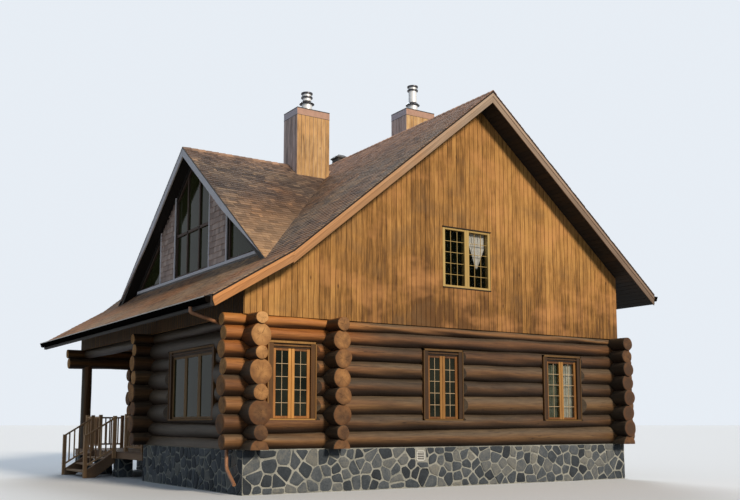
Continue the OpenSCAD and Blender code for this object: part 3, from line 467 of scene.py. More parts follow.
def log_wood(name, along):
    """Stained log: greyer where the weather reaches it, and redder underneath. Painted shade darkens
    it underneath and on the side that faces the front, and painted sunlight makes it brighter and
    more amber towards the front corner and in the top courses, which also stay fresher under the
    eaves. Dry checks run along it."""
    paint = Paint(name, 0.6)
    tone, seed = paint.tone()
    place = paint.position(GRAIN[along])
    grain = paint.noise(place, 34.0, 4.0, seed, 0.65)
    broad = paint.noise(place, 4.0, 2.0, seed)
    value = grain * 0.55 + broad * 0.5 + tone * 0.22 - 0.135
    weathered, fresh, painted_sun_amber = (value.ramp(*zip((0.25, 0.45, 0.6, 0.8), colours.split())) for colours in (
        "28211a 463b2f 605140 7a6a53", "33200f 563a20 70502f 8c6a40", "6b3a14 a0602a bf7a38 d29450"))
    _, turned, up = paint.normal()
    x, y, z = paint.spot()
    # Painted sunlight: more amber near the front corner, more so up high, and in the top courses.
    near = y.between(-2.0, -4.8) * x.between(4.2, 5.4)
    high = z.between(2.4, 3.4) * (near * 0.52 + 0.15)
    near = near * z.between(1.0, 3.3, 0.16, 0.55)
    # Painted shade: the side that faces the front turns greyer and darker.
    ahead = (-turned).ramp((0.45, 0.0), (0.85, 1.0))
    share = up + (broad - 0.5) * 1.6 - high - near + ahead
    fresh = paint.mix(high * 1.3 + near * 1.1, fresh, painted_sun_amber)
    colour = paint.mix(share.ramp((0.0, 0.15), (0.55, 0.95)), fresh, weathered)
    colour = paint.mix(ahead * 0.55, colour, "2b2822")
    # Painted shade: darker underneath, which also darkens the gaps between the logs.
    colour = paint.mix((-up).ramp((0.0, 0.0), (0.6, 0.9)), colour, "150d08")
    fine = paint.noise(paint.position(CHECK_GRAIN[along]), 24.0, 1.0, seed, 0.4)
    checks = abs(fine - 0.5).ramp((0.0, 1.0), (0.014, 0.0)) * broad.ramp((0.48, 0.0), (0.56, 0.9))
    return paint.finish(paint.mix(checks, colour, "1d120b"), grain * 0.5 - checks, 0.5, 0.006)


def end_grain(name):
    """A log's sawn end, with its rings and dry checks. The vertices give their place on the disc."""
    paint = Paint(name, 0.8)
    disc = paint.node("Attribute", output="Vector", attribute_name="disc")
    tone, _ = paint.tone()
    u, v, seed = paint.split(disc)
    wobble = paint.noise(disc, 7.0, 2.0)
    radius = (u ** 2.0 + v ** 2.0) ** 0.5
    rings = (radius * 480.0 + wobble * 8.0).math("SINE")
    angle = v.math("ARCTAN2", u)
    check = paint.noise(paint.node("CombineXYZ", {0: angle * 1.5, 1: radius * 1.2, 2: seed}), 1.5, 2.0)
    crack = abs(check - 0.5).ramp((0.0, 1.0), (0.022, 0.0)) * radius.ramp((0.0, 1.0), (0.17, 0.25))
    stain = paint.noise(disc, 5.0, 2.0)
    # Painted light and shade: brighter towards the sunlit front corner and up high there, and darker at the
    # back corner. Low down they are darker, most at the front.
    _, y, z = paint.spot()
    near = y.between(-4.2, -5.2)
    height = z.between(1.0, 3.6, -0.34, 0.2) * (near * 0.8 + 0.25)
    value = rings * 0.035 + stain * 0.5 + tone * 0.2 + height + near * 0.19 + y.between(3.5, 5.0, 0.11, -0.1)
    colour = value.ramp((0.25, "4a3526"), (0.45, "7a5738"), (0.6, "aa7b4c"), (0.8, "cf9d66"))
    colour = paint.mix(radius.ramp((0.12, 0.0), (0.19, 0.35)), colour, "6d4424")
    return paint.finish(paint.mix(crack, colour, "2f1c10"), rings * 0.08 - crack, 0.5, 0.004)


def stone(name):
    """Rough blue-grey stones. Each has its tone."""
    paint = Paint(name, 0.82)
    tone, seed = paint.tone(30.0)
    place = paint.position()
    grit = paint.noise(place, 26.0, 6.0, None, 0.7)
    veins = paint.noise(place, 7.0, 3.0, seed)
    value = tone * 0.65 + grit * 0.6 + veins * 0.45 - 0.35
    colour = value.ramp((0.1, "23282e"), (0.4, "3b4249"), (0.6, "545a60"), (0.8, "727370"), (1.0, "8b8678"))
    return paint.finish(colour, grit, 0.9, 0.012)


def mortar(name):
    paint = Paint(name, 0.9)
    grit = paint.noise(paint.position(), 40.0, 5.0, None, 0.7)
    stains = paint.noise(paint.position(), 2.6, 3.0)
    value = grit * 0.6 + stains * 0.6 - 0.1
    return paint.finish(value.ramp((0.3, "62645f"), (0.5, "94958f"), (0.7, "b4b3aa")), grit, 0.7, 0.006)


def shingle(name, valley=0.0):
    """Mottled brown shingles, in warmer and greyer patches. Each has its tone. valley is how much
    lighter they turn towards the dormer's valleys."""
    paint = Paint(name, 0.88, 0.0, 0.2)
    tone, _ = paint.tone()
    specks = paint.noise(paint.position(), 90.0, 4.0, None, 0.75)
    value = tone * 0.9 + specks * 0.35 - 0.125
    colour = value.ramp((0.05, "443b37"), (0.3, "60534b"), (0.5, "7c6b5c"), (0.7, "987f68"),
                        (0.9, "b59372"), (1.0, "a38f82"))
    patch = paint.noise(paint.position(), 0.32, 3.0, None, 0.6)
    colour = paint.mix(patch.ramp((0.45, 0.0), (0.62, 0.45)), colour, "b98a5f", "OVERLAY")
    x, _, z = paint.spot()
    colour = paint.mix(z.between(8.1, 9.2, 0.0, 0.9) * value, colour, "bf8f74")
    if valley:
        faded = abs(x).between(2.0, 4.6, 0.0, valley)
        colour = paint.mix(faded * (value + 0.4), colour, "e3b585")
    return paint.finish(colour, specks, 0.5, 0.003)


def rake_wood(name):
    """Stained trim with its grain along the slopes, and painted light and shade along them: warm and
    sunlit at the front's foot, and greyer and shaded towards the ridge and behind it."""
    paint = Paint(name, 0.65)
    tone, seed = paint.tone()
    x, y, z = paint.spot()
    across = z + abs(y - RIDGE[0]) * MAIN_TAN
    slope = paint.node("CombineXYZ", {0: x, 1: y * 0.05, 2: across})
    grain = paint.noise(slope, 30.0, 4.0, seed, 0.65)
    broad = paint.noise(paint.position(), 1.6, 2.0)
    # Painted light and shade along the slopes, broken up by broad patches.
    along = (y + (broad - 0.5) * 3.0).between(-6.4, 6.4)
    colour = along.ramp((0.0, "da965a"), (0.3, "c5966b"), (0.53, "bca590"), (0.62, "b59c87"),
                        (0.85, "9a8270"), (1.0, "86705f"))
    shade = (grain * 0.6 + tone * 0.4).ramp((0.25, "a0a0a0"), (0.7, "ffffff"))
    return paint.finish(paint.mix(1.0, colour, shade, "MULTIPLY"), grain, 0.3, 0.003)


def metal(name, dark, light, rough=0.45, shine=0.0, scale=8.0, specular=0.5, front=None):
    """Painted or bare metal, a little uneven. front is a painted shade colour where it faces the front."""
    paint = Paint(name, rough, shine, specular)
    tone, _ = paint.tone()
    smear = paint.noise(paint.position(), scale, 4.0)
    colour = (smear * 0.7 + tone * 0.3).ramp((0.3, dark), (0.7, light))
    # Painted shade: the side that faces the front takes the front colour.
    if front:
        colour = paint.mix(paint.normal()[1].between(-0.5, -0.9), colour, front)
    return paint.finish(colour, smear, 0.06, 0.004)


def pane(name, dark, light, alpha, specular=0.07):
    """Window glass: dark and glossy, and clear where it has to show what hangs behind it."""
    paint = Paint(name, 0.05, 0.0, specular)
    paint.shader.inputs["Alpha"].default_value = alpha
    # The dark olive colours, mottled, are a painted reflection of green trees.
    waves = paint.noise(paint.position(), 1.4, 2.0)
    return paint.finish(waves.ramp((0.35, dark), (0.65, light)))


def cloth(name, dark, light):
    paint = Paint(name, 0.95)
    paint.shader.inputs["Sheen Weight"].default_value = 0.3
    weave, folds = (paint.noise(paint.position(), scale, 2.0) for scale in (220.0, 6.0))
    return paint.finish((weave * 0.3 + folds * 0.7).ramp((0.3, dark), (0.7, light)), weave, 0.2, 0.001)


LOG_X, LOG_Y, POST_WOOD = (log_wood("log_wood_" + along, along) for along in "xyz")
END_GRAIN, STONE, MORTAR = end_grain("end_grain"), stone("fieldstone"), mortar("mortar")
SHINGLE, DORMER_SHINGLE = shingle("shingles"), shingle("dormer_shingles", 0.55)
# Their warm and grey patches are painted dappled sunlight and shade, and their front colours painted shade:
# near black on the knee walls, pale grey on the chimneys. The chimney boards are lighter, as painted
# sunlight, and greyer.
BOARDS = siding("boards", "61401d 8a612f a4763e c08f50", "c98f58", "75593a", "1a140e")
CHIMNEY_BOARDS = siding("chimney_boards", "7a5a38 ab8558 c49c6b d8b584", "dcab72", "9a7b58", "f2dedb")
# Nearly black: the soffits' and fascias' dark brown with painted shade under the eaves.
DARK_WOOD = wood("dark_wood", "x", "110e0c 1a1512 282019")
FLOOR_WOOD = wood("floor_wood", "x", "6d4d31 8d6742 a98257")
RAKE_WOOD = rake_wood("rake_wood")
EAVE_WOOD = wood("eave_wood", "x", "352a24 453730 57473d", tone_share=0.3)
DORMER_WOOD = wood("dormer_wood", "x", "d8d6de ebe9f0 f7f5fb", tone_share=0.3)
SHAKES = wood("dormer_shakes", "z", "8c7a73 b39d94 cdb9af")
# far gives the planks and sashes painted shade away from the sunlit front corner.
PLANKS = wood("plank_wood", "z", "3b2611 704c27 a97f46", tone_share=0.8, far=0.38)
SASH = wood("sash_wood", "z", "4c2f15 9c6530 dda356", rough=0.45, tone_share=0.8, far=0.55)
# The front sashes' darker browns are partly their own paint and partly painted shade for the shaded front.
FRONT_SASH = wood("front_sash_wood", "z", "4d3720 6b5130 8a6c45", tone_share=0.3)
MUNTIN = wood("muntin_wood", "z", "a58a6a c4ab88 dbc6a5", rough=0.5, tone_share=0.2)
OLIVE = wood("olive_wood", "z", "9c8047 b5985c cbb175", rough=0.5, tone_share=0.3)
DOOR_WOOD = wood("door_wood", "z", "5c3316 7a4a22 966031", rough=0.5)
PORCH_WOOD = wood("porch_wood", "x", "63503e 866b54 a88b6d")
RAIL_WOOD = wood("rail_wood", "z", "86684c b08a65 d2ab80")
# The panes' olive colours are a painted reflection of trees, lighter on the front and dormer glass.
GLASS = pane("window_glass", "13160e", "282b22", 0.92)
FRONT_GLASS = pane("front_glass", "30331b", "3b3e25", 0.95, 0.075)
CLEAR_GLASS = pane("curtained_glass", "0d110a", "1a1f14", 0.16)
GREEN_CLOTH = cloth("green_curtain", "5b6354", "858d79")
PALE_CLOTH = cloth("pale_curtain", "b2b5a8", "dcded3")
WHITE_CLOTH = cloth("white_curtain", "d9d9d4", "fafaf6")
# The cap bands' pale lavender front is painted shade.
CAP_METAL = metal("cap_metal", "a07c69", "bd9582", 0.6, front="d6cdd6")
GUTTER_METAL = metal("gutter_metal", "0c0a09", "151210", 0.9, specular=0.0)
# The gutters' pale rim is a painted highlight.
RIM_PAINTED_HIGHLIGHT = metal("rim_painted_highlight", "c4bab0", "e2d9ce")
VENT_METAL = metal("vent_metal", "24201e", "322d2a", 0.6)
EDGE_METAL = metal("edge_metal", "1d1815", "2c2420", 0.7, specular=0.2)
COPPER = metal("copper_pipe", "8a5c40", "b5835f", 0.5, 0.1)
STEEL = metal("flue_steel", "dadde0", "f2f4f6", 0.45, 0.25, 3.0)
BAND_STEEL = metal("band_steel", "35353a", "4a4a50", 0.4, 0.6)
WHITE_METAL = metal("vent_white", "c9c9c4", "dededa", 0.5)


# Log walls, on the same rhythm of courses as the CAD part

ALONG_Y = ([31, 40, 36, 42, 34, 36, 30, 26], [45, 31, 46, 32, 41, 33, 30, 17])
ROWS = {
    FRONT_Y: ([24, 40, 36, 42, 36, 38, 34, 25], [19, 30, 49, 32, 49, 27, 44, 25]),
    CORE_Y: ([25, 38, 34, 43, 33, 42, 33, 27], [19, 29, 42, 37, 40, 39, 40, 29]),
    BACK_Y: ([22, 36, 43, 34, 42, 31, 37, 30], [20, 40, 39, 38, 38, 35, 33, 32]),
}
COURSES = 8
RING_STEP, LOG_SIDES, END_L = 0.13, 36, 0.03


def course(rhythm, i, share):
    """Middle height above the foundation and height of a course, where share runs from 0 to 1
    along its wall."""
    ends = []
    for heights in rhythm:
        scale = LOG_H / sum(heights)
        ends.append(((sum(heights[:i]) + heights[i] / 2) * scale, heights[i] * scale))
    (z0, h0), (z1, h1) = ends
    return z0 + (z1 - z0) * share, h0 + (h1 - h0) * share


def y_log(i, x, y):
    """Centre and radius, at y, of the log along Y at x."""
    z, h = course(ALONG_Y, i, (y - FRONT_Y + LOG_END) / (BACK_Y - FRONT_Y + 2 * LOG_END))
    return (x, y, FOUND_H + z), h * (1 + SCRIBE) / 2


def x_log(i, y, x):
    """The same of the log along X at y. The first one is a half log."""
    z, h = course(ROWS[y], i, (x - LEFT_X + LOG_END) / (RIGHT_X - LEFT_X + 2 * LOG_END))
    return (x, y, FOUND_H + (z if i else 0)), h * (1 + SCRIBE) * (0.5 if i else 1)


def log_rings(a, b, ra, rb, rng):
    """Rings of points around a log that is a little uneven and knotty, and the axes of its
    cross-section."""
    length = np.linalg.norm(b - a)
    n = max(6, round(length / RING_STEP))
    along = np.linspace(0, length, n + 1)[:, None]
    angle = np.array(circle(LOG_SIDES))[None, :]
    radius = ra + (rb - ra) * along / length + 0 * angle
    for lobes, size in ((1, 0.009), (2, 0.008), (3, 0.005), (5, 0.0025), (7, 0.001)):
        pitch = rng.uniform(0.5, 1.6) * (1 + lobes / 3)
        wave = np.sin(lobes * angle + pitch * along + rng.uniform(0, 6.28))
        radius = radius + size * wave * np.sin(rng.uniform(0.4, 1.3) * along + rng.uniform(0, 6.28))
    for _ in range(int(length * 1.1)):
        s, t = rng.uniform(0, length), rng.uniform(0, 6.28)
        turn = (angle - t + np.pi) % (2 * np.pi) - np.pi
        width = rng.uniform(0.04, 0.08)
        knot = np.exp(-((along - s) ** 2 + (ra * turn) ** 2) / width ** 2)
        radius = radius + rng.uniform(0.003, 0.01) * knot
    ahead = (b - a) / length
    side = np.cross(ahead, (0, 0, 1.0))
    side /= np.linalg.norm(side)
    up = np.cross(side, ahead)
    points = a + ahead * along[..., None] + radius[..., None] * (
        side * np.cos(angle)[..., None] + up * np.sin(angle)[..., None])
    points[..., 2] = np.clip(points[..., 2], FOUND_H, LOGS_TOP)
    return points, radius, (a, b, ahead, side, up)


def log_body(points, cutters):
    """The log's vertices and faces, after the openings in its way are cut out of it."""
    flat = points.reshape(-1, 3)
    mesh = bpy.data.meshes.new("log")
    mesh.from_pydata([tuple(p) for p in flat], [], ring_faces(len(points), LOG_SIDES))
    low, high = flat[:, 2].min(), flat[:, 2].max()
    cutters = [c for c in cutters if c["low"] < high and c["high"] > low]
    if cutters:
        log = placed("log", mesh)
        for c in cutters:
            cut = log.modifiers.new("opening", "BOOLEAN")
            cut.operation, cut.solver, cut.object = "DIFFERENCE", "MANIFOLD", c["object"]
        graph = bpy.context.evaluated_depsgraph_get()
        mesh = bpy.data.meshes.new_from_object(log.evaluated_get(graph))
        bpy.data.objects.remove(log)
    return [tuple(v.co) for v in mesh.vertices], [tuple(p.vertices) for p in mesh.polygons]


# From a log's body to the middle of its sawn face: how far out, how much thinner, and the share
# of the radius
END_RINGS = [(0.0, 0.0, 1.0), (0.016, 0.002, 1.0), (0.026, 0.008, 1.0), (0.03, 0.016, 1.0),
             (0.031, 0.02, 0.7), (0.0315, 0.02, 0.4), (0.0315, 0.02, 0.12)]


def log_cap(shape, radius, axes, outward, tone, seed):
    """A log's end, from the last ring of its body to its sawn face, with a worn edge."""
    a, b, ahead, side, up = axes
    centre = b if outward > 0 else a
    angle = np.array(circle(LOG_SIDES))
    points = []
    for out, less, share in END_RINGS:
        r = (radius - less) * share
        u, v = r * np.cos(angle), r * np.sin(angle)
        p = centre + ahead * outward * out + u[:, None] * side + v[:, None] * up
        p[:, 2] = np.clip(p[:, 2], FOUND_H, LOGS_TOP)
        points += [tuple(q) for q in p]
        shape.marks += [(x, y, seed) for x, y in zip(u, v)]
    faces = ring_faces(len(END_RINGS), LOG_SIDES, (False, True))
    if outward < 0:
        faces = [f[::-1] for f in faces]
    worn = 2 * LOG_SIDES
    shape.add(points, faces, tone, [1] * worn + [0] * (len(faces) - worn))


def opening(spot, w, low, high, flare=0.12):
    """What is cut out of the logs for a window or door: straight through the wall, and
    splayed outside it."""
    deep = 0.5
    outline = [(-w / 2, -deep), (w / 2, -deep), (w / 2, flare), (w / 2 + deep, flare + deep),
               (-w / 2 - deep, flare + deep), (-w / 2, flare)]
    mesh = bpy.data.meshes.new("opening")
    mesh.from_pydata([spot(u, v, out) for v in (low, high) for u, out in outline], [],
                     ring_faces(2, len(outline)))
    mesh.validate()
    fix = bmesh.new()
    fix.from_mesh(mesh)
    bmesh.ops.recalc_face_normals(fix, faces=fix.faces)
    fix.to_mesh(mesh)
    fix.free()
    base = spot.origin[2]
    return {"object": placed("opening", mesh), "low": base + low, "high": base + high}


def log_wall(name, logs, cutters, material, seed):
    """A wall of logs, each given as ((start, radius), (end, radius)), and their sawn ends."""
    rng = random.Random(seed)
    body, caps = Shape(), Shape()
    for (a, ra), (b, rb) in logs:
        a, b = np.array(a), np.array(b)
        ahead = (b - a) / np.linalg.norm(b - a)
        points, radius, axes = log_rings(a + ahead * END_L, b - ahead * END_L, ra, rb, rng)
        tone = rng.random()
        body.add(*log_body(points, cutters), tone)
        for end, outward in ((0, -1), (-1, 1)):
            log_cap(caps, radius[end], axes, outward, tone, rng.uniform(0, 50))
    for c in cutters:
        bpy.data.objects.remove(c["object"])
    body.piece(name + "_logs", "logs", [material], [name], sharp=40)
    caps.piece(name + "_ends", "logs", [END_GRAIN, material], [name], sharp=50)


def log_row(log, wall, start, end, courses=range(COURSES)):
    """The logs of a wall, where every other one reaches a little further."""
    more = [RAGGED if i % 2 else 0 for i in range(COURSES)]
    return [(log(i, wall, start - more[i]), log(i, wall, end + more[i])) for i in courses]


def window_holes(wall):
    return [opening(facing(side, x, y, FOUND_H), w, SILL_H, HEAD_H) for side, x, y, w in WINDOWS[wall]]


def log_walls():
    x0, x1 = LEFT_X - LOG_END, RIGHT_X + LOG_END
    y0, y1 = FRONT_Y - LOG_END, BACK_Y + LOG_END
    last = COURSES - 1
    log_wall("log_wall_right", log_row(y_log, RIGHT_X, y0, y1), window_holes("right"), LOG_Y, 11)
    left = log_row(y_log, LEFT_X, CORE_Y - LOG_END, y1, range(last - 1))
    left += log_row(y_log, LEFT_X, y0, y1, [last - 1, last])
    log_wall("log_wall_left", left, window_holes("left"), LOG_Y, 12)
    log_wall("log_wall_back", log_row(x_log, BACK_Y, x0, x1), window_holes("back"), LOG_X, 13)
    front = log_row(x_log, FRONT_Y, ROOM_X - LOG_END, x1, range(last))
    front += log_row(x_log, FRONT_Y, x0, x1, [last])
    log_wall("log_wall_front", front, window_holes("front"), LOG_X, 14)
    wide_x = WINDOWS["front"][0][1]
    inner = window_holes("porch") + [
        opening(facing("front", DOOR_X, CORE_Y, FOUND_H), DOOR_W, -0.1, DOOR_H),
        opening(facing("front", wide_x, CORE_Y, FOUND_H), 2.0, -0.1, HEAD_H, flare=0.4),
    ]
    log_wall("log_wall_core", log_row(x_log, CORE_Y, x0, x1), inner, LOG_X, 15)
    log_wall("log_wall_room_side", log_row(y_log, ROOM_X, y0, CORE_Y + INNER_END), [], LOG_Y, 16)


# Stones of the foundation

STONE_STEP, STONE_FLAT, JOINT, LOW_GAP = 0.27, 1.1, 0.014, 0.003
NEIGHBOURS, HOLE_EDGE = 14, 0.02
# A stone's rings: the share of its outline, of its height, and whether it is tilted there
STONE_RINGS = [(1.0, 0.0, 0), (0.97, 0.7, 1), (0.88, 1.0, 1), (0.5, 1.15, 1)]
VENT_Y, VENT_Z = (-1.2225, -0.9925), (0.59, 0.82)


def clipped(outline, point, normal):
    """The part of a convex outline behind the line through point with that normal."""
    kept = []
    for i, a in enumerate(outline):
        b = outline[(i + 1) % len(outline)]
        da, db = ((p[0] - point[0]) * normal[0] + (p[1] - point[1]) * normal[1] for p in (a, b))
        if da <= 0:
            kept.append(a)
        if (da < 0 < db) or (db < 0 < da):
            t = da / (da - db)
            kept.append((a[0] + (b[0] - a[0]) * t, a[1] + (b[1] - a[1]) * t))
    return kept


def outside(cell, hole, p):
    """The cell on its own side of the hole that it meets."""
    u0, v0, u1, v1 = hole
    gaps = {(-1, 0): u0 - p[0], (1, 0): p[0] - u1, (0, -1): v0 - p[1], (0, 1): p[1] - v1}
    side = max(gaps, key=gaps.get)
    if gaps[side] < -0.05:
        return []
    point = (u0 - HOLE_EDGE if side[0] < 0 else u1 + HOLE_EDGE,
             v0 - HOLE_EDGE if side[1] < 0 else v1 + HOLE_EDGE)
    return clipped(cell, point, (-side[0], -side[1]))


def scattered(length, height, rng):
    """Middles of the stones: at least about a stone apart."""
    middles = []
    for _ in range(int(length * height * 260)):
        p = (rng.uniform(0, length), rng.uniform(0, height))
        room = STONE_STEP * rng.choice((0.62, 0.8, 1.0, 1.3))
        if all(math.hypot((p[0] - q[0]) / STONE_FLAT, p[1] - q[1]) > room for q in middles):
            middles.append(p)
    return middles


def stone_face(shape, spot, length, height, rng, hole=None):
    """Covers a wall's face with irregular stones in wide joints. hole is (u0, v0, u1, v1)."""
    middles = scattered(length, height, rng)
    for p in middles:
        cell = [(0, 0), (length, 0), (length, height), (0, height)]
        near = sorted((q for q in middles if q is not p), key=lambda q: math.hypot(q[0] - p[0], q[1] - p[1]))
        for q in near[:NEIGHBOURS]:
            cell = clipped(cell, ((p[0] + q[0]) / 2, (p[1] + q[1]) / 2), (q[0] - p[0], q[1] - p[1]))
        if hole and any(hole[0] - 0.03 < u < hole[2] + 0.03 and hole[1] - 0.03 < v < hole[3] + 0.03
                        for u, v in cell + [p]):
            cell = outside(cell, hole, p)
        if len(cell) < 3:
            continue
        cell = inset(cell, JOINT * rng.uniform(0.5, 1.7))
        soft = []
        for i, a in enumerate(cell):
            b = cell[(i + 1) % len(cell)]
            for t in (0.16, 0.84):
                u, v = (a[axis] + (b[axis] - a[axis]) * t + rng.uniform(-0.006, 0.006) for axis in (0, 1))
                soft.append((u, min(max(v, LOW_GAP), height)))
        stone_block(shape, spot, soft, rng)


def stone_block(shape, spot, outline, rng):
    """One stone, a little tilted, with its face rounded towards the middle."""
    n = len(outline)
    middle = (sum(u for u, _ in outline) / n, sum(v for _, v in outline) / n)
    tilt = (rng.uniform(-0.05, 0.05), rng.uniform(-0.05, 0.05))
    out = rng.uniform(0.008, 0.016)
    points = []
    for share, rise, tilted in STONE_RINGS:
        for u, v in outline:
            du, dv = (u - middle[0]) * share, (v - middle[1]) * share
            w = out * rise + (tilt[0] * du + tilt[1] * dv + rng.uniform(-0.0015, 0.0015)) * tilted
            points.append(spot(middle[0] + du, middle[1] + dv, max(w, 0)))
    shape.add(points, ring_faces(len(STONE_RINGS), n, (False, True)), rng.random())


def foundation():
    """Stones on each face of the foundation that is seen from outside."""
    rng = random.Random(3)
    shape = Shape()
    x0, room_x, x1 = LEFT_X - FOUND_OUT, ROOM_X - FOUND_OUT, RIGHT_X + FOUND_OUT
    y0, core_y, y1 = FRONT_Y - FOUND_OUT, CORE_Y - FOUND_OUT, BACK_Y + FOUND_OUT
    vent = (VENT_Y[0] - y0, VENT_Z[0], VENT_Y[1] - y0, VENT_Z[1])
    for side, x, y, length, hole in (
            ("right", x1, y0, y1 - y0, vent),
            ("left", x0, y1, y1 - core_y, None),
            ("back", x1, y1, x1 - x0, None),
            ("front", room_x, y0, x1 - room_x, None),
            ("front", x0, core_y, room_x - x0, None),
            ("left", room_x, core_y, core_y - y0, None)):
        stone_face(shape, facing(side, x, y), length, FOUND_H, rng, hole)
    shape.piece("foundation_stones", "fieldstone", [STONE], sharp=30)


def foundation_vent():
    """A frame with slanted slats, before a dark back plate: painted shade for the space behind them."""
    shape = Shape()
    spot = facing("right", RIGHT_X + FOUND_OUT - 0.02, VENT_Y[0], VENT_Z[0])
    w, h, t = VENT_Y[1] - VENT_Y[0], VENT_Z[1] - VENT_Z[0], 0.02
    for low, high in (((0, 0), (w, t)), ((0, h - t), (w, h)), ((0, 0), (t, h)), ((w - t, 0), (w, h))):
        block(shape, spot, (*low, -0.02), (*high, 0.032))
    slats = 5
    slant = ((0.006, 0.004), (0.009, 0.008), (-0.006, 0.026), (-0.009, 0.022))
    for k in range(slats):
        v = t + (h - 2 * t) * (k + 0.5) / slats
        shape.add([spot(u, v + up, out) for u in (t, w - t) for up, out in slant], BOX_FACES)
    # Painted shade: a dark plate for the dark space behind the slats.
    block(shape, spot, (0.01, 0.01, -0.03), (w - 0.01, h - 0.01, -0.012), 0.5, 1)
    shape.piece("foundation_vent_louvres", "vent_white", [WHITE_METAL, VENT_METAL], ["foundation_vent"],
                bevel=0.0015)


# Boards

BOARD_W, BOARD_IN, BOARD_EDGE, LEAST_BOARD = 0.134, 0.004, 0.0035, 0.006
BOARD_FOOT = LOGS_TOP - 0.012


def roof_top(y):
    if y > BEND[0]:
        return RIDGE[1] - abs(y - RIDGE[0]) * MAIN_TAN
    return BEND[1] - (BEND[0] - y) * LOWER_TAN


def roof_under(y):
    return roof_top(y) - (MAIN_DROP if y > BEND[0] else LOWER_DROP)


def boards(shape, spot, ends, bottom, top, rng, width=BOARD_W, hole=(), out=0.014, gap=0.0055):
    """Upright boards between two ends. bottom and top give the height at u. hole is
    (u0, v0, u1, v1)."""
    u0, u1 = ends
    n = max(1, round((u1 - u0) / width))
    for k in range(n):
        a, b = u0 + (u1 - u0) * k / n, u0 + (u1 - u0) * (k + 1) / n
        tone, lift = rng.random(), rng.uniform(-0.0015, 0.0015)
        cuts = [a] + [u for u in hole[::2] if a < u < b] + [b]
        for s, e in zip(cuts, cuts[1:]):
            spans = [(bottom, top)]
            if hole and hole[0] < (s + e) / 2 < hole[2]:
                spans = [(bottom, lambda u: hole[1]), (lambda u: hole[3], top)]
            s, e = s + (gap / 2 if s == a else 0), e - (gap / 2 if e == b else 0)
            if e - s < LEAST_BOARD:
                continue
            for low, high in spans:
                outline = [(s, low(s)), (e, low(e)), (e, high(e)), (s, high(s))]
                slab(shape, spot, outline, -BOARD_IN, out + lift, BOARD_EDGE, tone)


def gable_boards():
    """Boards on the gables, around their windows, and on the knee walls."""
    rng = random.Random(5)
    low, high = FRONT_Y - KNEE_OUT, BACK_Y + KNEE_OUT
    for side, sign in GABLES:
        shape = Shape()
        ends = (low, high) if sign > 0 else (-high, -low)
        u0, u1 = sign * UPPER_Y - UPPER_W / 2, sign * UPPER_Y + UPPER_W / 2
        boards(shape, facing(side, sign * GABLE_X, 0), ends, lambda u: BOARD_FOOT,
               lambda u: roof_under(sign * u) - 0.004, rng, hole=(u0, UPPER_Z, u1, UPPER_Z + UPPER_H))
        shape.piece(f"gable_wall_{side}_boards", "boards", [BOARDS])
    shape = Shape()
    for side, y in (("front", low), ("back", high)):
        boards(shape, facing(side, 0, y), (-GABLE_X, GABLE_X), lambda u: BOARD_FOOT,
               lambda u: roof_under(y) - 0.02, rng)
    shape.piece("knee_wall_boards", "boards", [BOARDS])


# Roof

COURSE_H, REACH, SIDE_GAP, LEAST_SHINGLE = 0.125, 1.12, 0.002, 0.03
SHINGLE_WIDTHS, SHINGLE_FEET, SHINGLE_HEAD = (0.09, 0.12, 0.16, 0.2, 0.26), (0.011, 0.011, 0.014), 0.003


def shingle_slope(shape, spot, length, rise, rng, skip=None, light=0.47):
    """Courses of shingles up a slope. skip says whether a shingle at (u0, u1, v) is left out,
    and light is their mean tone."""
    n = round(rise / COURSE_H)
    step = rise / n
    waves = [(rng.uniform(0.4, 2.5), rng.uniform(1.5, 6), rng.uniform(0, 6.28)) for _ in range(5)]
    for v in (j * step for j in range(n)):
        top = min(v + step * REACH, rise)
        u = -rng.uniform(0, 0.3)
        while u < length:
            w = rng.choice(SHINGLE_WIDTHS)
            a, b = max(u, 0), min(u + w, length)
            u += w
            if b - a < LEAST_SHINGLE or (skip and skip(a, b, v)):
                continue
            patch = sum(math.sin(p * (a + b) / 2 + q * v + r) for p, q, r in waves) / len(waves)
            tone = clamped(light + 0.14 * patch + rng.gauss(0, 0.13))
            lap(shape, spot, a + SIDE_GAP, b - SIDE_GAP, v, top, rng.choice(SHINGLE_FEET), SHINGLE_HEAD, tone)


# A cap on the ridge: its middle and two edges at both ends, and the same below them
RIDGE_STEP, RIDGE_W, RIDGE_T = 0.2, 0.15, 0.01
RIDGE_FACES = [(0, 1, 4, 3), (1, 2, 5, 4), (3, 4, 10, 9), (4, 5, 11, 10), (0, 3, 9, 6), (2, 8, 11, 5),
             (0, 6, 7, 1), (1, 7, 8, 2)]


def ridge_caps(shape, start, end, slope, rng):
    """Lapped caps along a ridge. slope is the tangent down its two sides."""
    start, end = np.array(start, float), np.array(end, float)
    length = np.linalg.norm(end - start)
    ahead = (end - start) / length
    side = np.cross(ahead, (0, 0, 1.0))
    n = round(length / RIDGE_STEP)
    out = RIDGE_W / math.hypot(1, slope)
    for k in range(n):
        points = []
        for share, lift in ((k / n, 0.012), (min((k + 1.25) / n, 1), 0.026)):
            p = start + ahead * length * share
            points += [p + side * u + (0, 0, lift - abs(u) * slope) for u in (-out, 0, out)]
        points += [p - (0, 0, RIDGE_T) for p in points]
        shape.add([tuple(p) for p in points], RIDGE_FACES, clamped(rng.gauss(0.5, 0.2)))


def slope_spot(low, high, x, across):
    """The plane of a slope from (y, z) to (y, z), with u along across."""
    d = np.array([0, high[0] - low[0], high[1] - low[1]])
    rise = np.linalg.norm(d)
    up = d / rise
    return Spot((x, low[0], low[1]), across, up, np.cross(across, up)), rise


def in_dormer(x, y):
    """Whether a point of the front slope lies well under the dormer's roof."""
    return y > DORMER_WALL_Y + 0.2 and DORMER_Z - abs(x) * DORMER_TAN > roof_top(y) + 0.25


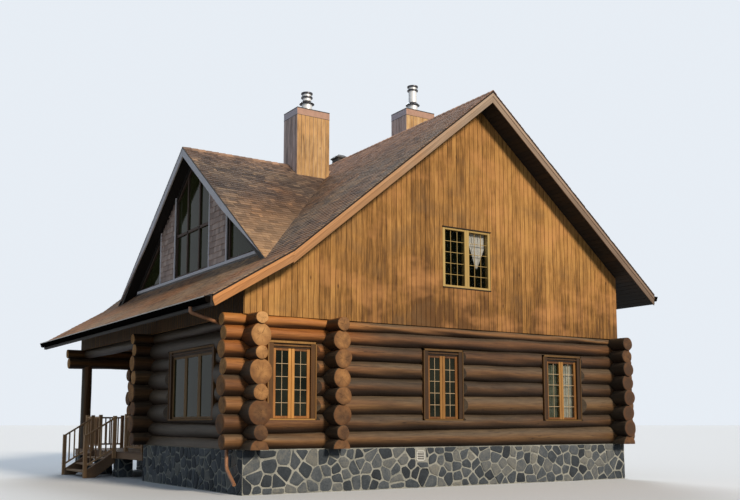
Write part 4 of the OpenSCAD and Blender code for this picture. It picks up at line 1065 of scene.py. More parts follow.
def roof():
    rng = random.Random(7)
    edge = ROOF_X + TRIM_T
    front, back = Shape(), Shape()

    def skip(a, b, v):
        y = BEND[0] + v * math.cos(MAIN_ANGLE)
        return in_dormer(a - edge, y) and in_dormer(b - edge, y)

    spot, rise = slope_spot(BEND, RIDGE, -edge, (1, 0, 0))
    shingle_slope(front, spot, 2 * edge, rise, rng, skip, light=0.57)
    # The lower slope's shingles get a lighter mean tone: painted sunlight.
    spot, rise = slope_spot(EAVE_FRONT, BEND, -edge, (1, 0, 0))
    shingle_slope(front, spot, 2 * edge, rise, rng, light=0.85)
    front.piece("roof_front_shingles", "shingles", [SHINGLE])
    spot, rise = slope_spot(EAVE_BACK, RIDGE, edge, (-1, 0, 0))
    shingle_slope(back, spot, 2 * edge, rise, rng)
    ridge_caps(back, (-edge, *RIDGE), (edge, *RIDGE), MAIN_TAN, rng)
    back.piece("roof_back_shingles", "shingles", [SHINGLE])
    dormer_shingles(rng)


def dormer_shingles(rng):
    shape = Shape()
    y0 = DORMER_FRONT_Y - TRIM_T
    for sign in (1, -1):
        slope = np.array([-sign, 0, DORMER_TAN])
        slope = slope / np.linalg.norm(slope)
        across = np.array([0, sign, 0.0])
        origin = (sign * DORMER_HALF, y0 if sign > 0 else DORMER_END_Y, BEND[1])
        spot = Spot(origin, across, slope, np.cross(across, slope))

        def hidden(a, b, v):
            return all(spot(u, v + 0.16, 0)[2] < roof_top(spot(u, v, 0)[1]) - 0.01 for u in (a, b))

        rise = DORMER_HALF / math.cos(DORMER_ANGLE)
        shingle_slope(shape, spot, DORMER_END_Y - y0, rise, rng, hidden, light=0.27)
    ridge_caps(shape, (0, y0, DORMER_Z), (0, DORMER_END_Y, DORMER_Z), DORMER_TAN, rng)
    shape.piece("dormer_shingles", "shingles", [DORMER_SHINGLE])


# A rake's strips: from and to below the roof's top, how far out, tone and paint
RAKE_STRIPS = [(0.0, 0.035, 0.04, 0.5, 1), (0.03, 0.1, 0.034, 0.8, 0), (0.095, 0.22, 0.02, 0.4, 0)]


def rake_boards():
    """A main board, a thinner strip over it and a metal edge, along each gable's slopes."""
    for side, sign in GABLES:
        shape = Shape()
        for near, far, out, tone, paint in RAKE_STRIPS:
            for (y0, z0), (y1, z1), tan, _ in SLOPES:
                n, f = near * math.hypot(1, tan), far * math.hypot(1, tan)
                outline = [(y0, z0 - f), (y1, z1 - f), (y1, z1 - n), (y0, z0 - n)]
                if (y0, z0) == EAVE_FRONT and far > 0.2:
                    outline[0] = (y0 + 0.05, z0 - f + 0.05 * tan)
                outline = outline if sign > 0 else mirrored(outline)
                slab(shape, facing(side, sign * ROOF_X, 0), outline, 0, out, 0.003, tone, paint)
        shape.piece(f"rake_boards_{side}_trim", "roof_trim", [RAKE_WOOD, EDGE_METAL], ["rake_boards_" + side])


def fascias():
    for side, (y, z), y0, y1, drop in (("front", EAVE_FRONT, -TRIM_T, 0, LOWER_DROP),
                                       ("back", EAVE_BACK, 0, TRIM_T, MAIN_DROP)):
        shape = Shape()
        box(shape, (-ROOF_X, y + y0, z - drop), (ROOF_X, y + y1, z - 0.002), 0.4)
        shape.piece(f"fascia_{side}_board", "roof_trim", [DARK_WOOD], ["fascia_" + side], bevel=0.003)


SOFFIT_W, SOFFIT_T, SOFFIT_GAP = 0.13, 0.012, 0.006


def soffits():
    """Boards under the overhangs of the gables and the eaves, along the ridge's direction."""
    rng = random.Random(9)
    shape = Shape()
    for (y0, z0), (y1, z1), _, drop in SLOPES:
        spot, length = slope_spot((y0, z0 - drop), (y1, z1 - drop), 0, (1, 0, 0))
        n = round(length / SOFFIT_W)
        for k in range(n):
            v0, v1 = length * k / n + SOFFIT_GAP / 2, length * (k + 1) / n - SOFFIT_GAP / 2
            spans = [(-ROOF_X, ROOF_X)]
            if FRONT_Y - KNEE_OUT < spot(0, (v0 + v1) / 2, 0)[1] < BACK_Y + KNEE_OUT:
                wall = GABLE_X + 0.016
                spans = [(-ROOF_X, -wall), (wall, ROOF_X)]
            for a, b in spans:
                block(shape, spot, (a, v0, -SOFFIT_T), (b, v1, 0.0), rng.random())
    shape.piece("soffit_boards", "roof_trim", [DARK_WOOD])


# A gutter's cross-section, out from the fascia and up: its outside, with the rim, and its inside
TROUGH_OUT = [(0.0, 0.0), (0.0, -0.122), (0.012, -0.13), (0.07, -0.13), (0.092, -0.118), (0.1, -0.09),
              (0.112, -0.06), (0.122, -0.04), (0.124, -0.022), (0.13, -0.022), (0.13, 0.0), (0.108, 0.0)]
TROUGH_IN = [(0.108, -0.006), (0.116, -0.01), (0.116, -0.038), (0.104, -0.06), (0.092, -0.09),
             (0.084, -0.112), (0.066, -0.123), (0.016, -0.123), (0.006, -0.117), (0.006, 0.0)]
RIM = range(8, 12)
GUTTER_DOWN, GUTTER_END, STRAPS, STRAP_W = 0.04, 0.006, 20, 0.024


def gutters():
    """Troughs with a rolled front rim, on straps."""
    shape = Shape()
    for side, (y, z) in ((-1, EAVE_FRONT), (1, EAVE_BACK)):
        y, z = y + side * TRIM_T, z - GUTTER_DOWN

        def length(outline, x0, x1, ends, paint=0):
            points = [(x, y + side * out, z + up) for x in (x0, x1) for out, up in outline]
            faces = ring_faces(2, len(outline), (ends, ends))
            shape.add(points, faces if side > 0 else [f[::-1] for f in faces], 0.5, paint)

        trough = TROUGH_OUT + TROUGH_IN
        # The rim's faces take the pale painted highlight.
        length(trough, -ROOF_X, ROOF_X, False, [int(i in RIM) for i in range(len(trough))])
        for x in (-ROOF_X, ROOF_X - GUTTER_END):
            length(TROUGH_OUT, x, x + GUTTER_END, True)
        y0, y1 = sorted((y + side * 0.002, y + side * 0.12))
        for k in range(STRAPS):
            x = -ROOF_X + 0.35 + k * (2 * ROOF_X - 0.7) / (STRAPS - 1)
            box(shape, (x - STRAP_W / 2, y0, z - 0.008), (x + STRAP_W / 2, y1, z - 0.004), 0.6)
    shape.piece("gutter_troughs", "dark_metal", [GUTTER_METAL, RIM_PAINTED_HIGHLIGHT], ["gutters"])


PIPE_R, BRACKET_R, SLEEVE_R = 0.037, 0.0405, 0.0395


def downspout():
    """A pipe from the gutter's outlet, back to the corner and down, with brackets and joints."""
    x, y = RIGHT_X - 0.31, FRONT_Y - 0.31
    out_x, out_y, out_z = x + 0.13, EAVE_FRONT[0] - TRIM_T - 0.065, EAVE_FRONT[1] - 0.17
    points = [(out_x, out_y, out_z), (out_x, out_y, out_z - 0.11), (x, y, out_z - 0.33), (x, y, 0.52),
              (x + 0.52, y - 0.06, 0.22)]
    shape = Shape()
    sweep(shape, rounded(points, 0.12), PIPE_R)
    for z in (1.25, 2.3, 3.1):
        lathe(shape, (x, y, z), [(BRACKET_R, 0), (BRACKET_R, 0.03)], 24)
        box(shape, (x - 0.012, y + 0.03, z), (x + 0.012, y + 0.09, z + 0.03))
    for p, q in (points[1:3], points[3:5]):
        p, q = np.array(p), np.array(q)
        d = (q - p) / np.linalg.norm(q - p)
        sweep(shape, [p + d * 0.12, p + d * 0.15], SLEEVE_R)
    shape.piece("downspout_pipe", "copper_pipe", [COPPER], ["downspout"], sharp=40)


# Dormer

SILL_Z = roof_top(DORMER_WALL_Y) + 0.11
SHAKE_STEP, SHAKE_H, SHAKE_FOOT, SHAKE_HEAD = 0.15, 0.17, 0.022, 0.005
# The dark strip at the dormer wall's foot is flashing and painted shadow.
CORNER_OUT, SILL_OUT, SILL_DOWN, FLASHING_AND_PAINTED_SHADOW_H, FLASHING_AND_PAINTED_SHADOW_OUT = 0.034, 0.04, 0.075, 0.05, 0.03
SHAKE_FACES = LAP_FACES + [(4, 7, 6, 5)]


def dormer_roof_under(x):
    return DORMER_Z - DORMER_DROP - abs(x) * DORMER_TAN


def dormer_light_top(x, more=0.0):
    return dormer_roof_under(x) - (DORMER_RAIL + more) * math.hypot(1, DORMER_TAN)


def dormer_shakes(spot):
    """Lapped shakes between the middle window and the side lights."""
    rng = random.Random(21)
    shape = Shape()
    for sign in (-1, 1):
        v = SILL_Z + 0.02
        while v < dormer_light_top(DORMER_MID) + 0.4:
            u = DORMER_MID + 0.02
            while u < DORMER_SIDE - 0.1:
                w = rng.uniform(0.1, 0.2)
                a, b = u, min(u + w, DORMER_SIDE - 0.06)
                u += w
                top = min(v + SHAKE_H, min(dormer_roof_under(a), dormer_roof_under(b)) - 0.02)
                if b - a < LEAST_SHINGLE or top - v < 0.04:
                    continue
                a, b = sorted((sign * (a + SIDE_GAP), sign * (b - SIDE_GAP)))
                lap(shape, spot, a, b, v, top, SHAKE_FOOT, SHAKE_HEAD, rng.random(), SHAKE_FACES)
            v += SHAKE_STEP
    shape.piece("dormer_shake_courses", "dormer_shakes", [SHAKES])


def dormer_wall():
    """The shakes, corner boards, a sill board and dark flashing, which also serves as the painted
    shadow that the dormer casts on the roof.
    """
    spot = facing("front", 0, DORMER_WALL_Y)
    dormer_shakes(spot)
    trim, dark = Shape(), Shape()
    for sign in (-1, 1):
        for x, w in ((DORMER_MID, 0.045), (DORMER_SIDE - 0.05, 0.05)):
            a, b = sorted((sign * (x - w / 2), sign * (x + w / 2)))
            top = min(dormer_roof_under(a), dormer_roof_under(b)) - 0.01
            block(trim, spot, (a, SILL_Z - 0.02, 0), (b, top, CORNER_OUT), 0.6)
    half = (dormer_light_top(0) - SILL_Z) / DORMER_TAN + 0.06
    foot = SILL_Z - SILL_DOWN
    block(trim, spot, (-half, foot, 0), (half, SILL_Z, SILL_OUT))
    trim.piece("dormer_sill_and_corners", "dormer_trim", [DORMER_WOOD], bevel=0.004)
    # Painted shadow: the dark flashing also stands for the dormer's shadow on the roof.
    block(dark, spot, (-half - 0.12, foot - FLASHING_AND_PAINTED_SHADOW_H, 0), (half + 0.12, foot, FLASHING_AND_PAINTED_SHADOW_OUT))
    dark.piece("dormer_flashing_and_painted_shadow", "dark_metal", [VENT_METAL], bevel=0.003)


def strip_frame(shape, spot, outline, width, deep):
    """Bars along the sides of a convex outline, inside it."""
    inner = inset(outline, width)
    for i in range(len(outline)):
        k = (i + 1) % len(outline)
        slab(shape, spot, [outline[i], outline[k], inner[k], inner[i]], -deep / 2, deep / 2, 0.004)


def dormer_windows():
    """A middle window with two posts and a bar, and a light on each side of it."""
    shape = Shape()
    spot = facing("front", 0, DORMER_WALL_Y + 0.075)
    low, shoulder, top = SILL_Z, dormer_light_top(DORMER_MID), dormer_light_top(0)
    half, side = DORMER_MID, DORMER_SIDE
    middle = [(-half, low), (half, low), (half, shoulder), (0, top), (-half, shoulder)]
    right = [(side, low), ((top - low) / DORMER_TAN, low), (side, dormer_light_top(side))]
    for outline in (middle, right, mirrored(right)):
        strip_frame(shape, spot, outline, 0.062, 0.11)
    for u in (-0.4, 0.4):
        head = dormer_light_top(u + 0.03, 0.05)
        block(shape, spot, (u - 0.035, low + 0.05, -0.05), (u + 0.035, head, 0.05))
    block(shape, spot, (-half + 0.06, 6.5, -0.05), (half - 0.06, 6.57, 0.05))
    shape.piece("dormer_window_frames", "sash_wood", [EAVE_WOOD], ["window_frames_dormer"])


def barge_boards():
    """The dormer's boards in two lengths a side, with plumb joints, under a dark roof edge."""
    shape = Shape()
    spot = facing("front", 0, DORMER_FRONT_Y)
    foot = DORMER_HALF - 0.09
    joints = [0.0, 2.62, foot]
    drop = 0.2 * math.hypot(1, DORMER_TAN)
    lowest = roof_top(DORMER_FRONT_Y) + 0.005

    def under(u, down):
        return (u, DORMER_Z - u * DORMER_TAN - down)

    for sign in (-1, 1):
        for a, b in zip(joints, joints[1:]):
            outline = [under(a, drop), under(b, drop), under(b, 0.03), under(a, 0.03)]
            outline = [(u, max(v, lowest)) for u, v in outline]
            outline = outline if sign > 0 else mirrored(outline)
            slab(shape, spot, outline, 0.0, 0.036, 0.004, 0.5 + 0.2 * sign * (a > 0))
        end = foot + 0.05
        edge = [under(0, 0.035), under(end, 0.035), under(end, 0), under(0, 0)]
        slab(shape, spot, edge if sign > 0 else mirrored(edge), 0.0, TRIM_T, 0.002, 0.5, 1)
    shape.piece("dormer_barge_boards", "dormer_trim", [DORMER_WOOD, VENT_METAL], ["dormer_rake_boards"])


# Windows in the walls

# A stepped head: from and to below the top of the frame, how far behind its face, and tone
HEAD_STEPS = [(0.045, 0.0, 0.0, 0.75), (0.08, 0.045, 0.05, 0.0), (0.11, 0.08, 0.02, 0.5),
              (HEAD, 0.11, 0.05, 0.1)]
EDGE_STRIP = 0.03


def sash(shape, spot, low, high, out, thick, columns, rows, tones=(0.5, 0.5)):
    """A sash between two corners, with its glazing bars, and the tones of its left and right
    stile. Paint 1 is the bars'."""
    (u0, v0), (u1, v1) = low, high
    a, b, c, d = u0 + STILE, u1 - STILE, v0 + RAIL, v1 - RAIL
    # The rails' lower tones, the top rail's lowest, are painted shade.
    for near, far, behind, tone in (((u0, v0), (a, v1), 0, tones[0]), ((b, v0), (u1, v1), 0, tones[1]),
                                    ((a, v0), (b, c), RAIL_BACK, 0.45), ((a, d), (b, v1), RAIL_BACK, 0.3)):
        plate(shape, spot, near, far, out - thick, out - behind, SASH_EDGE, tone)
    bar = BAR_W / 2
    face = out - (thick - GLASS_T) / 2
    w0, w1 = face - BAR_IN, face + BAR_OUT
    for u in (a + (b - a) * k / columns for k in range(1, columns)):
        plate(shape, spot, (u - bar, c), (u + bar, d), w0, w1, BAR_EDGE, 0.6, 1)
    for v in (c + (d - c) * k / rows for k in range(1, rows)):
        plate(shape, spot, (a, v - bar), (b, v + bar), w0, w1 - 0.001, BAR_EDGE, 0.6, 1)


def low_window(shape, side, x, y, w):
    """A window in the logs: planks at the sides, a stepped head, a thin sill and its sashes.
    Paint 2 is the planks'."""
    lights, columns, rows = (3, 1, 1) if w == WIDE_W else (2, 2, 5)
    spot = facing(side, x, y, FOUND_H + SILL_H)
    h, half = HEAD_H - SILL_H - FIT, w / 2 - FIT
    inner = half - JAMB
    back = PLANK_OUT - PLANK_D
    for sign in (-1, 1):
        for a, b, out, tone in ((half - EDGE_STRIP, half, PLANK_OUT, 0.6),
                                (inner, half - EDGE_STRIP, PLANK_OUT - 0.012, 0.3)):
            a, b = sorted((sign * a, sign * b))
            plate(shape, spot, (a, 0), (b, h), back, out, PLANK_EDGE, tone, 2)
    for low, high, behind, tone in HEAD_STEPS:
        wide, out = half if high == 0 else inner, PLANK_OUT - behind
        plate(shape, spot, (-wide, h - low), (wide, h - high), back + 0.01, out, PLANK_EDGE, tone, 2)
    plate(shape, spot, (-half, 0), (half, SILL - 0.006), back, PLANK_OUT, 0.004, 1.0, 2)
    sash_w = 2 * inner / lights
    for k in range(lights):
        u0 = -inner + k * sash_w
        low, high = (u0 + SASH_GAP, SILL), (u0 + sash_w - SASH_GAP, h - HEAD)
        tones = (0.75 if k else 0.55, 0.55 if k == lights - 1 else 0.75)
        sash(shape, spot, low, high, SASH_OUT, SASH_T, columns, rows, tones)


def low_windows():
    for name, node, walls, timber in (
            ("side_windows_right", "window_frames_right", ["right"], SASH),
            ("side_windows_left", "window_frames_left", ["left"], SASH),
            ("back_windows", "window_frames_back", ["back"], SASH),
            ("front_windows", "window_frame_front", ["front", "porch"], FRONT_SASH)):
        shape = Shape()
        for window in (window for wall in walls for window in WINDOWS[wall]):
            low_window(shape, *window)
        shape.piece(name, "sash_wood", [timber, MUNTIN, PLANKS], [node])


def upper_windows():
    """Two casements in each gable, under a thin board and on a thin sill."""
    shape = Shape()
    half, h = UPPER_W / 2 - FIT, UPPER_H - FIT
    for side, sign in GABLES:
        spot = facing(side, sign * GABLE_X, UPPER_Y, UPPER_Z)
        for u0, u1 in ((-half, 0), (0, half)):
            sash(shape, spot, (u0, 0), (u1, h), 0.012, 0.12, 3, 5)
        for more, v0, v1, out in ((0.02, h, h + 0.022, 0.04), (0.01, -0.025, 0, 0.03)):
            plate(shape, spot, (-half - more, v0), (half + more, v1), 0, out, PLANK_EDGE, 0.0, 2)
    shape.piece("upper_windows", "olive_wood", [OLIVE, OLIVE, PLANKS], ["window_frames_upper"])


# Curtain rods: x, the middle along Y, the height and half of the length
LOW_ROD = (5.7, 3.345, 2.932, 0.512)
UPPER_ROD = (5.65, 0.356, 5.995, 0.725)
ROD_R, RINGS, CURTAIN_HEAD = 0.007, 21, 0.02


def curtain_rods():
    """A rod over each curtained window, with its rings."""
    shape = Shape()
    for x, y, z, half in (LOW_ROD, UPPER_ROD):
        sweep(shape, [(x, y - half, z), (x, y + half, z)], ROD_R, 12)
        for k in range(RINGS):
            u = y - half + 0.02 + (2 * half - 0.04) * k / (RINGS - 1)
            sweep(shape, [(x, u - 0.002, z), (x, u + 0.002, z)], ROD_R + 0.003, 12, 0.8)
    shape.piece("curtain_rods", "curtain_cloth", [BAND_STEEL], ["curtains"], sharp=40)


def curtain(name, rod, sides, length, depth, paint):
    """A curtain in folds that hangs from a rod. sides gives its two edges, measured along Y from
    the rod's middle, at a depth below the rod."""
    folds, down = 8, 28
    across = 12 * folds
    x, y, z, _ = rod
    points = []
    for j in range(down + 1):
        below = -CURTAIN_HEAD + (length + CURTAIN_HEAD) * j / down
        a, b = sides(below)
        for i in range(across + 1):
            s = i / across
            turn = 2 * math.pi * folds * s + 0.7 * math.sin(1.9 * below + 5 * s)
            fold = math.sin(turn) * (0.8 + 0.2 * math.sin(7 * s + 2 * below))
            points.append((x + depth * fold, y + a + (b - a) * s, z - below))
    n = across + 1
    shape = Shape()
    shape.add(points, [(j * n + i, j * n + i + 1, (j + 1) * n + i + 1, (j + 1) * n + i)
                       for j in range(down) for i in range(across)])
    piece = shape.piece(name, "curtain_cloth", [paint], sharp=80)


def drawn_in(below):
    """The upper curtain's edges: straight, and then drawn in to its foot."""
    drawn = 0.23
    return 0.132 + drawn * clamped((below - 0.171) / 0.684), 0.652 - drawn * clamped((below - 0.342) / 0.513)


def curtains():
    curtain_rods()
    for name, edges, paint in (("low_curtain_left", (-0.5, -0.006), GREEN_CLOTH),
                               ("low_curtain_right", (0.006, 0.5), PALE_CLOTH)):
        curtain(name, LOW_ROD, lambda below: edges, 1.395, 0.019, paint)
    curtain("upper_curtain", UPPER_ROD, drawn_in, 0.855, 0.0115, WHITE_CLOTH)


def front_door():
    """A door of boards on three ledges, with a round knob on its plate."""
    shape = Shape()
    spot = facing("front", DOOR_X, CORE_Y, FOUND_H)
    half, top = DOOR_W / 2 - FIT, DOOR_H - FIT
    rng = random.Random(31)
    boards(shape, spot, (-half, half), lambda u: 0.0, lambda u: top, rng, 0.12, out=0.025, gap=0.002)
    block(shape, spot, (-half, 0, -0.025), (half, top, 0.0), 0.3)
    for v in (0.18, 0.95, 1.78):
        block(shape, spot, (-half + 0.02, v, -0.04), (half - 0.02, v + 0.12, -0.025), 0.6)
    knob = [(0.001, -0.03), (0.022, -0.026), (0.028, 0), (0.022, 0.026), (0.001, 0.03)]
    lathe(shape, spot(half - 0.07, 1.0, 0.055), knob, 20, 0.5, 1)
    block(shape, spot, (half - 0.076, 0.994, 0.02), (half - 0.064, 1.006, 0.05), 0.5, 1)
    block(shape, spot, (half - 0.1, 0.9, 0.024), (half - 0.04, 1.1, 0.03), 0.5, 1)
    shape.piece("front_door_boards", "sash_wood", [DOOR_WOOD, VENT_METAL], ["front_door"], bevel=0.002)


# Chimneys, as x, y, the height of the top and of the flue over it, and the roof vent

CHIMNEYS = [(0.11, RIDGE[0] - 1.665, RIDGE[1] + 0.92, 0.62), (0.26, RIDGE[0] + 1.995, RIDGE[1] + 1.54, 0.9)]
CHIMNEY_W, CHIMNEY_D, CAP_H = 0.79, 1.03, 0.22


def chimney_boards():
    """Boards on the four sides of each chimney, down to the roof that it stands in."""
    rng = random.Random(41)
    half_w, half_d = CHIMNEY_W / 2, CHIMNEY_D / 2
    for name, (x, y, top, _) in zip(("chimney_front", "chimney_back"), CHIMNEYS):
        shape = Shape()
        for side, half, dx, dy in (("right", half_d, half_w, 0), ("left", half_d, -half_w, 0),
                                   ("front", half_w, 0, -half_d), ("back", half_w, 0, half_d)):
            spot = facing(side, x + dx, y + dy)

            def bottom(u):
                px, py, _ = spot(u, 0, 0)
                dormer = DORMER_Z - abs(px) * DORMER_TAN if py < DORMER_END_Y + 0.2 else 0
                return max(roof_top(py), dormer) - 0.05

            boards(shape, spot, (-half - 0.008, half + 0.008), bottom, lambda u: top - CAP_H, rng, out=0.012)
        shape.piece(name + "_boards", "boards", [CHIMNEY_BOARDS])


def chimney_caps():
    """A band around each chimney's top, between thin dark edges."""
    shape = Shape()
    for x, y, top, _ in CHIMNEYS:
        foot = top - CAP_H
        for less, low, high, paint in ((0.003, foot + 0.004, top - 0.02, 0), (0, top - 0.028, top, 1),
                                       (0, foot, foot + 0.01, 1)):
            a, b = CHIMNEY_W / 2 + 0.015 - less, CHIMNEY_D / 2 + 0.015 - less
            box(shape, (x - a, y - b, low), (x + a, y + b, high), 0.5, paint)
    shape.piece("chimney_cap_bands", "brown_metal", [CAP_METAL, VENT_METAL], ["chimney_caps"], bevel=0.002)


def flues():
    """A base, a storm collar, a pipe, two bands and a lid on each chimney. Paint 1 is dark."""
    shape = Shape()
    for x, y, top, h in CHIMNEYS:
        for paint, *profile in (
                (0, (0.15, 0), (0.15, 0.27)),
                (1, (0.2175, 0.27), (0.2175, 0.276), (0.13, 0.36), (0.126, 0.36)),
                (0, (0.125, 0.27), (0.125, h - 0.02)),
                (1, (0.1675, h - 0.05), (0.1675, h - 0.015)),
                (1, (0.1675, h - 0.17), (0.1675, h - 0.135)),
                (0, (0.13, h - 0.05), (0.166, h - 0.022), (0.1, h - 0.006), (0.001, h)),
                (0, (0.153, 0.13), (0.153, 0.145))):
            lathe(shape, (x, y, top), profile, paint=paint)
    shape.piece("flue_pipes", "flue_steel", [STEEL, BAND_STEEL], ["flues"], sharp=35)


def roof_vent():
    """A square vent with five fins and a hood."""
    shape = Shape()
    x, y = -1.5, RIDGE[0] + 0.42
    top = roof_top(y) + 0.75

    def ring(half, z):
        return [(x + sx * half, y + sy * half, z) for sx, sy in ((-1, -1), (1, -1), (1, 1), (-1, 1))]

    # The shaft, the fins and the hood
    box(shape, (x - 0.17, y - 0.17, roof_top(y) - 0.2), (x + 0.17, y + 0.17, top - 0.12), 0.4)
    for z in (top - 0.15 - 0.05 * k for k in range(5)):
        box(shape, (x - 0.18, y - 0.18, z), (x + 0.18, y + 0.18, z + 0.012), 0.6)
    shape.add(ring(0.21, top - 0.13) + ring(0.21, top - 0.09) + ring(0.1, top), ring_faces(3, 4))
    shape.piece("roof_vent_hood", "dark_metal", [VENT_METAL], ["roof_vent"], bevel=0.002)


# Porch and stair

DECK_Z, DECK_T, PLANK_T = 0.68, 0.18, 0.03
DECK_X0, DECK_Y0, DECK_X1, DECK_Y1 = LEFT_X - 0.2, FRONT_Y - 0.23, ROOM_X - FOUND_OUT, CORE_Y - FOUND_OUT
STAIR_X0, STAIR_X1, STEPS, STEP_RUN = -3.95, -2.0, 4, 0.25
RAIL_H, RAIL_T, BAR_T, RAIL_POST, POST = 0.95, 0.05, 0.035, 0.09, 0.15
BAR_STEP, JOISTS, JOIST_T, TREAD_T, STRINGER_T = 0.13, 13, 0.045, 0.045, 0.06
DECK_BOARD_W, DECK_GAP = 0.14, 0.006


def porch_deck():
    """Boards in two lengths, on joists between a front and a back beam."""
    rng = random.Random(51)
    shape = Shape()
    x0, y0, x1, y1 = DECK_X0, DECK_Y0, DECK_X1, DECK_Y1
    n = round((y1 - y0) / DECK_BOARD_W)
    for k in range(n):
        a, b = y0 + (y1 - y0) * k / n, y0 + (y1 - y0) * (k + 1) / n
        cut = rng.uniform(x0 + 1.5, x1 - 1.5)
        a, b = a + DECK_GAP / 2, b - DECK_GAP / 2
        for s, e in ((x0, cut - 0.002), (cut + 0.002, x1)):
            box(shape, (s, a, DECK_Z - PLANK_T), (e, b, DECK_Z), rng.random())
    low, high, inner = DECK_Z - DECK_T, DECK_Z - PLANK_T - 0.001, x0 + 0.015
    front, back = y0 + 0.015 + JOIST_T, y1 - JOIST_T
    box(shape, (inner, y0 + 0.015, low), (x1, front, high), 0.4)
    box(shape, (inner, back, low), (x1, y1, high), 0.4)
    for k in range(JOISTS):
        x = inner + (x1 - inner - JOIST_T) * k / (JOISTS - 1)
        box(shape, (x, front, low), (x + JOIST_T, back, high), rng.random())
    shape.piece("porch_deck_boards", "porch_wood", [PORCH_WOOD], ["porch_deck"], bevel=0.003)


def porch_piers():
    rng = random.Random(52)
    shape = Shape()
    half = 0.2
    for x in (LEFT_X, STAIR_X0 + half, STAIR_X1):
        for side, sx, sy in (("right", 1, -1), ("left", -1, 1), ("front", -1, -1), ("back", 1, 1)):
            spot = facing(side, x + sx * half, FRONT_Y + sy * half)
            stone_face(shape, spot, 2 * half, DECK_Z - DECK_T, rng)
    shape.piece("porch_pier_stones", "fieldstone", [STONE], sharp=30)


def upright(shape, spot, u, low, high, t, rng):
    """A square bar or post that stands at u."""
    block(shape, spot, (u - t / 2, low, -t / 2), (u + t / 2, high, t / 2), rng.random())


def railing(shape, spot, length, rng):
    for low in (0.1, RAIL_H - RAIL_T):
        block(shape, spot, (0, low, -RAIL_T / 2), (length, low + RAIL_T, RAIL_T / 2), rng.random())
    n = int(length / BAR_STEP)
    for k in range(1, n):
        upright(shape, spot, k * length / n, 0.14, RAIL_H - 0.04, BAR_T, rng)
    for u in (0, length):
        upright(shape, spot, u, 0, RAIL_H + 0.05, RAIL_POST, rng)


def porch_railing():
    rng = random.Random(53)
    shape = Shape()
    for x0, x1 in ((LEFT_X + POST + RAIL_POST, STAIR_X0 - 2 * RAIL_POST),
                   (STAIR_X1 + 2 * RAIL_POST, ROOM_X - LOG_END - 2 * RAIL_POST)):
        railing(shape, facing("front", x0, FRONT_Y, DECK_Z), x1 - x0, rng)
    y0, y1 = FRONT_Y + POST + RAIL_POST, CORE_Y - LOG_END - 2 * RAIL_POST
    railing(shape, facing("left", LEFT_X, y1, DECK_Z), y1 - y0, rng)
    shape.piece("porch_rails", "porch_wood", [RAIL_WOOD], ["porch_railing"], bevel=0.003)


def stair():
    """Treads of two boards between two stringers, with a railing on each side."""
    rng = random.Random(54)
    step_h = DECK_Z / STEPS
    front = DECK_Y0 - (STEPS - 1) * STEP_RUN
    foot = front - 0.06
    treads, sides, rails = Shape(), Shape(), Shape()
    for k in range(1, STEPS):
        y0, y1 = front + (k - 1) * STEP_RUN - 0.02, front + k * STEP_RUN - 0.005
        middle, z = (y0 + y1) / 2, k * step_h
        for a, b in ((y0, middle - DECK_GAP / 2), (middle + DECK_GAP / 2, y1)):
            box(treads, (STAIR_X0 + STRINGER_T, a, z - TREAD_T), (STAIR_X1 - STRINGER_T, b, z), rng.random())
    treads.piece("stair_tread_boards", "porch_wood", [PORCH_WOOD], ["stair_treads"], bevel=0.004)
    outline = [(foot, 0), (foot + 0.3, 0), (DECK_Y0, DECK_Z - 0.3), (DECK_Y0, DECK_Z), (foot, step_h)]
    for x in (STAIR_X0, STAIR_X1 - STRINGER_T):
        slab(sides, facing("right", x, 0), outline, 0, STRINGER_T, 0.003, rng.random())
    sides.piece("stair_side_boards", "porch_wood", [PORCH_WOOD], ["stair_stringers"])
    run = DECK_Y0 - foot
    slope = (DECK_Z - step_h) / run
    n = int(run / BAR_STEP)
    bars = [(RAIL_H - RAIL_T, RAIL_H, foot, DECK_Y0, RAIL_T), (0.1, 0.1 + RAIL_T, foot, DECK_Y0, RAIL_T)]
    bars += [(0.125, RAIL_H - 0.025, foot + k * run / n - BAR_T / 2, foot + k * run / n + BAR_T / 2, BAR_T)
             for k in range(1, n)]
    for x in (STAIR_X0 - RAIL_POST / 2, STAIR_X1 + RAIL_POST / 2):
        spot = facing("right", x, 0)
        for low, high, y0, y1, t in bars:
            z0, z1 = (step_h + (y - foot) * slope for y in (y0, y1))
            outline = [(y0, z0 + low), (y1, z1 + low), (y1, z1 + high), (y0, z0 + high)]
            slab(rails, spot, outline, -t / 2, t / 2, 0.003, rng.random())
        upright(rails, spot, foot, 0, step_h + RAIL_H, RAIL_POST, rng)
        upright(rails, spot, DECK_Y0 - RAIL_POST / 2, DECK_Z - DECK_T, DECK_Z + RAIL_H, RAIL_POST, rng)
    rails.piece("stair_rail_bars", "porch_wood", [RAIL_WOOD], ["stair_rails"], bevel=0.003)


def porch_post():
    """A round post from the deck to the log that it carries."""
    (_, _, top), _ = y_log(COURSES - 2, LEFT_X, FRONT_Y)
    top -= 0.075
    shape = Shape()
    points = []
    n = 20
    for z in (DECK_Z + (top - DECK_Z) * k / n for k in range(n + 1)):
        for a in circle(LOG_SIDES):
            r = 0.148 + 0.003 * math.sin(3 * a + 2 * z) + 0.002 * math.sin(5 * a - 4 * z)
            points.append((LEFT_X + r * math.cos(a), FRONT_Y + r * math.sin(a), z))
    shape.add(points, ring_faces(n + 1, LOG_SIDES))
    shape.piece("porch_post_log", "logs", [POST_WOOD], ["porch_post"], sharp=40)


# Materials of the CAD pieces that stay

def dress(names, material):
    """Gives CAD pieces their material. names is a list, or a text with spaces between them."""
    for name in names.split() if isinstance(names, str) else names:
        materials = frame["nodes"][name].data.materials
        materials.clear()
        materials.append(material)


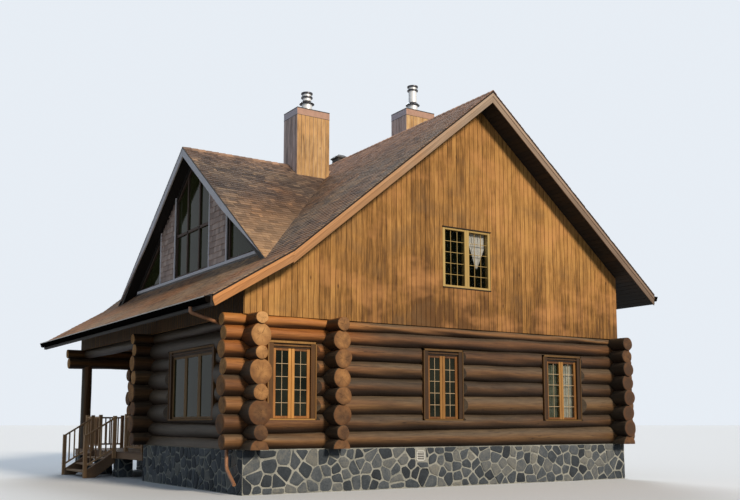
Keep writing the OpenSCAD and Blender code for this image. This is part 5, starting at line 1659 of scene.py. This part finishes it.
def dress_frame():
    """The CAD pieces that no piece replaces. The panes before the curtains are clear."""
    dress("foundation_right foundation_left foundation_back foundation_front foundation_core "
          "foundation_room_side porch_piers", MORTAR)
    dress("main_floor upper_floor", FLOOR_WOOD)
    dress("gable_wall_right gable_wall_left knee_wall_front knee_wall_back roof_front_upper roof_front_lower "
          "roof_back dormer_roof_right dormer_roof_left dormer_wall chimney_front chimney_back", DARK_WOOD)
    dress([name for name in frame["nodes"] if name.startswith("glass_")], GLASS)
    dress("glass_front glass_dormer", FRONT_GLASS)
    for name, (_, middle, _, half) in (("glass_right", LOW_ROD), ("glass_upper", UPPER_ROD)):
        mesh = frame["nodes"][name].data
        mesh.materials.append(CLEAR_GLASS)
        for face in mesh.polygons:
            if face.center.x > 0 and abs(face.center.y - middle) < half:
                face.material_index = 1


# Camera, lights and floor

def camera():
    """The photo's view, tilted up a little so that the base stays in the picture."""
    data = bpy.data.cameras.new("camera")
    data.lens, data.sensor_width, data.shift_y = 45.29, 36.0, 0.08
    data.clip_end = 4000
    eye = placed("camera", data)
    eye.location = (22.941, -13.527, 1.401)
    eye.rotation_euler = (math.radians(90 + 7.055), 0, math.radians(90 - 32.958))
    bpy.context.scene.camera = eye


def sun(name, azimuth, height, strength, colour, softness):
    """A soft lamp from a direction, with its angles in degrees."""
    data = bpy.data.lights.new(name, "SUN")
    data.energy, data.color, data.angle = strength, colour, math.radians(softness)
    placed(name, data).rotation_euler = (math.radians(90 - height), 0, math.radians(azimuth + 90))


def world():
    """A dim bluish sky that lights the house, and a pale one that is seen."""
    scene = bpy.context.scene
    scene.view_settings.view_transform = "Standard"
    scene.world = bpy.data.worlds.new("studio")
    nodes = Nodes(scene.world)
    dim = nodes.tree.nodes["Background"]
    dim.inputs[0].default_value, dim.inputs[1].default_value = (0.66, 0.81, 1.0, 1), 0.32
    pale = nodes.node("Background", {0: (0.80, 0.85, 0.91, 1), 1: 1.0})
    sky = nodes.node("MixShader", {0: nodes.seen(), 1: Value(nodes, dim.outputs[0]), 2: pale})
    nodes.tree.links.new(sky.socket, nodes.tree.nodes["World Output"].inputs[0])


def floor():
    """A wide disc that is pale where it is seen, and darker for the light that it throws back."""
    radius, sides = 1500, 96
    mesh = bpy.data.meshes.new("floor")
    mesh.from_pydata([(radius * math.cos(a), radius * math.sin(a), 0) for a in circle(sides)], [],
                     [tuple(range(sides))])
    paint = Paint("floor_pale", 0.9)
    colour = paint.mix(paint.seen(), (0.14, 0.14, 0.12, 1), (0.8, 0.81, 0.82, 1))
    mesh.materials.append(paint.finish(colour))
    placed("floor", mesh)


camera()
world()
floor()
sun("key", 6, 25, 3.2, (1.0, 0.87, 0.7), 10)
sun("fill", 150, 38, 1.5, (0.86, 0.93, 1.0), 25)
dress_frame()
for build in (
        log_walls, foundation, foundation_vent, gable_boards, roof, rake_boards, fascias, soffits, gutters,
        downspout, dormer_wall, dormer_windows, barge_boards, low_windows, upper_windows, curtains,
        front_door, chimney_boards, chimney_caps, flues, roof_vent, porch_deck, porch_piers, porch_railing,
        stair, porch_post):
    build()
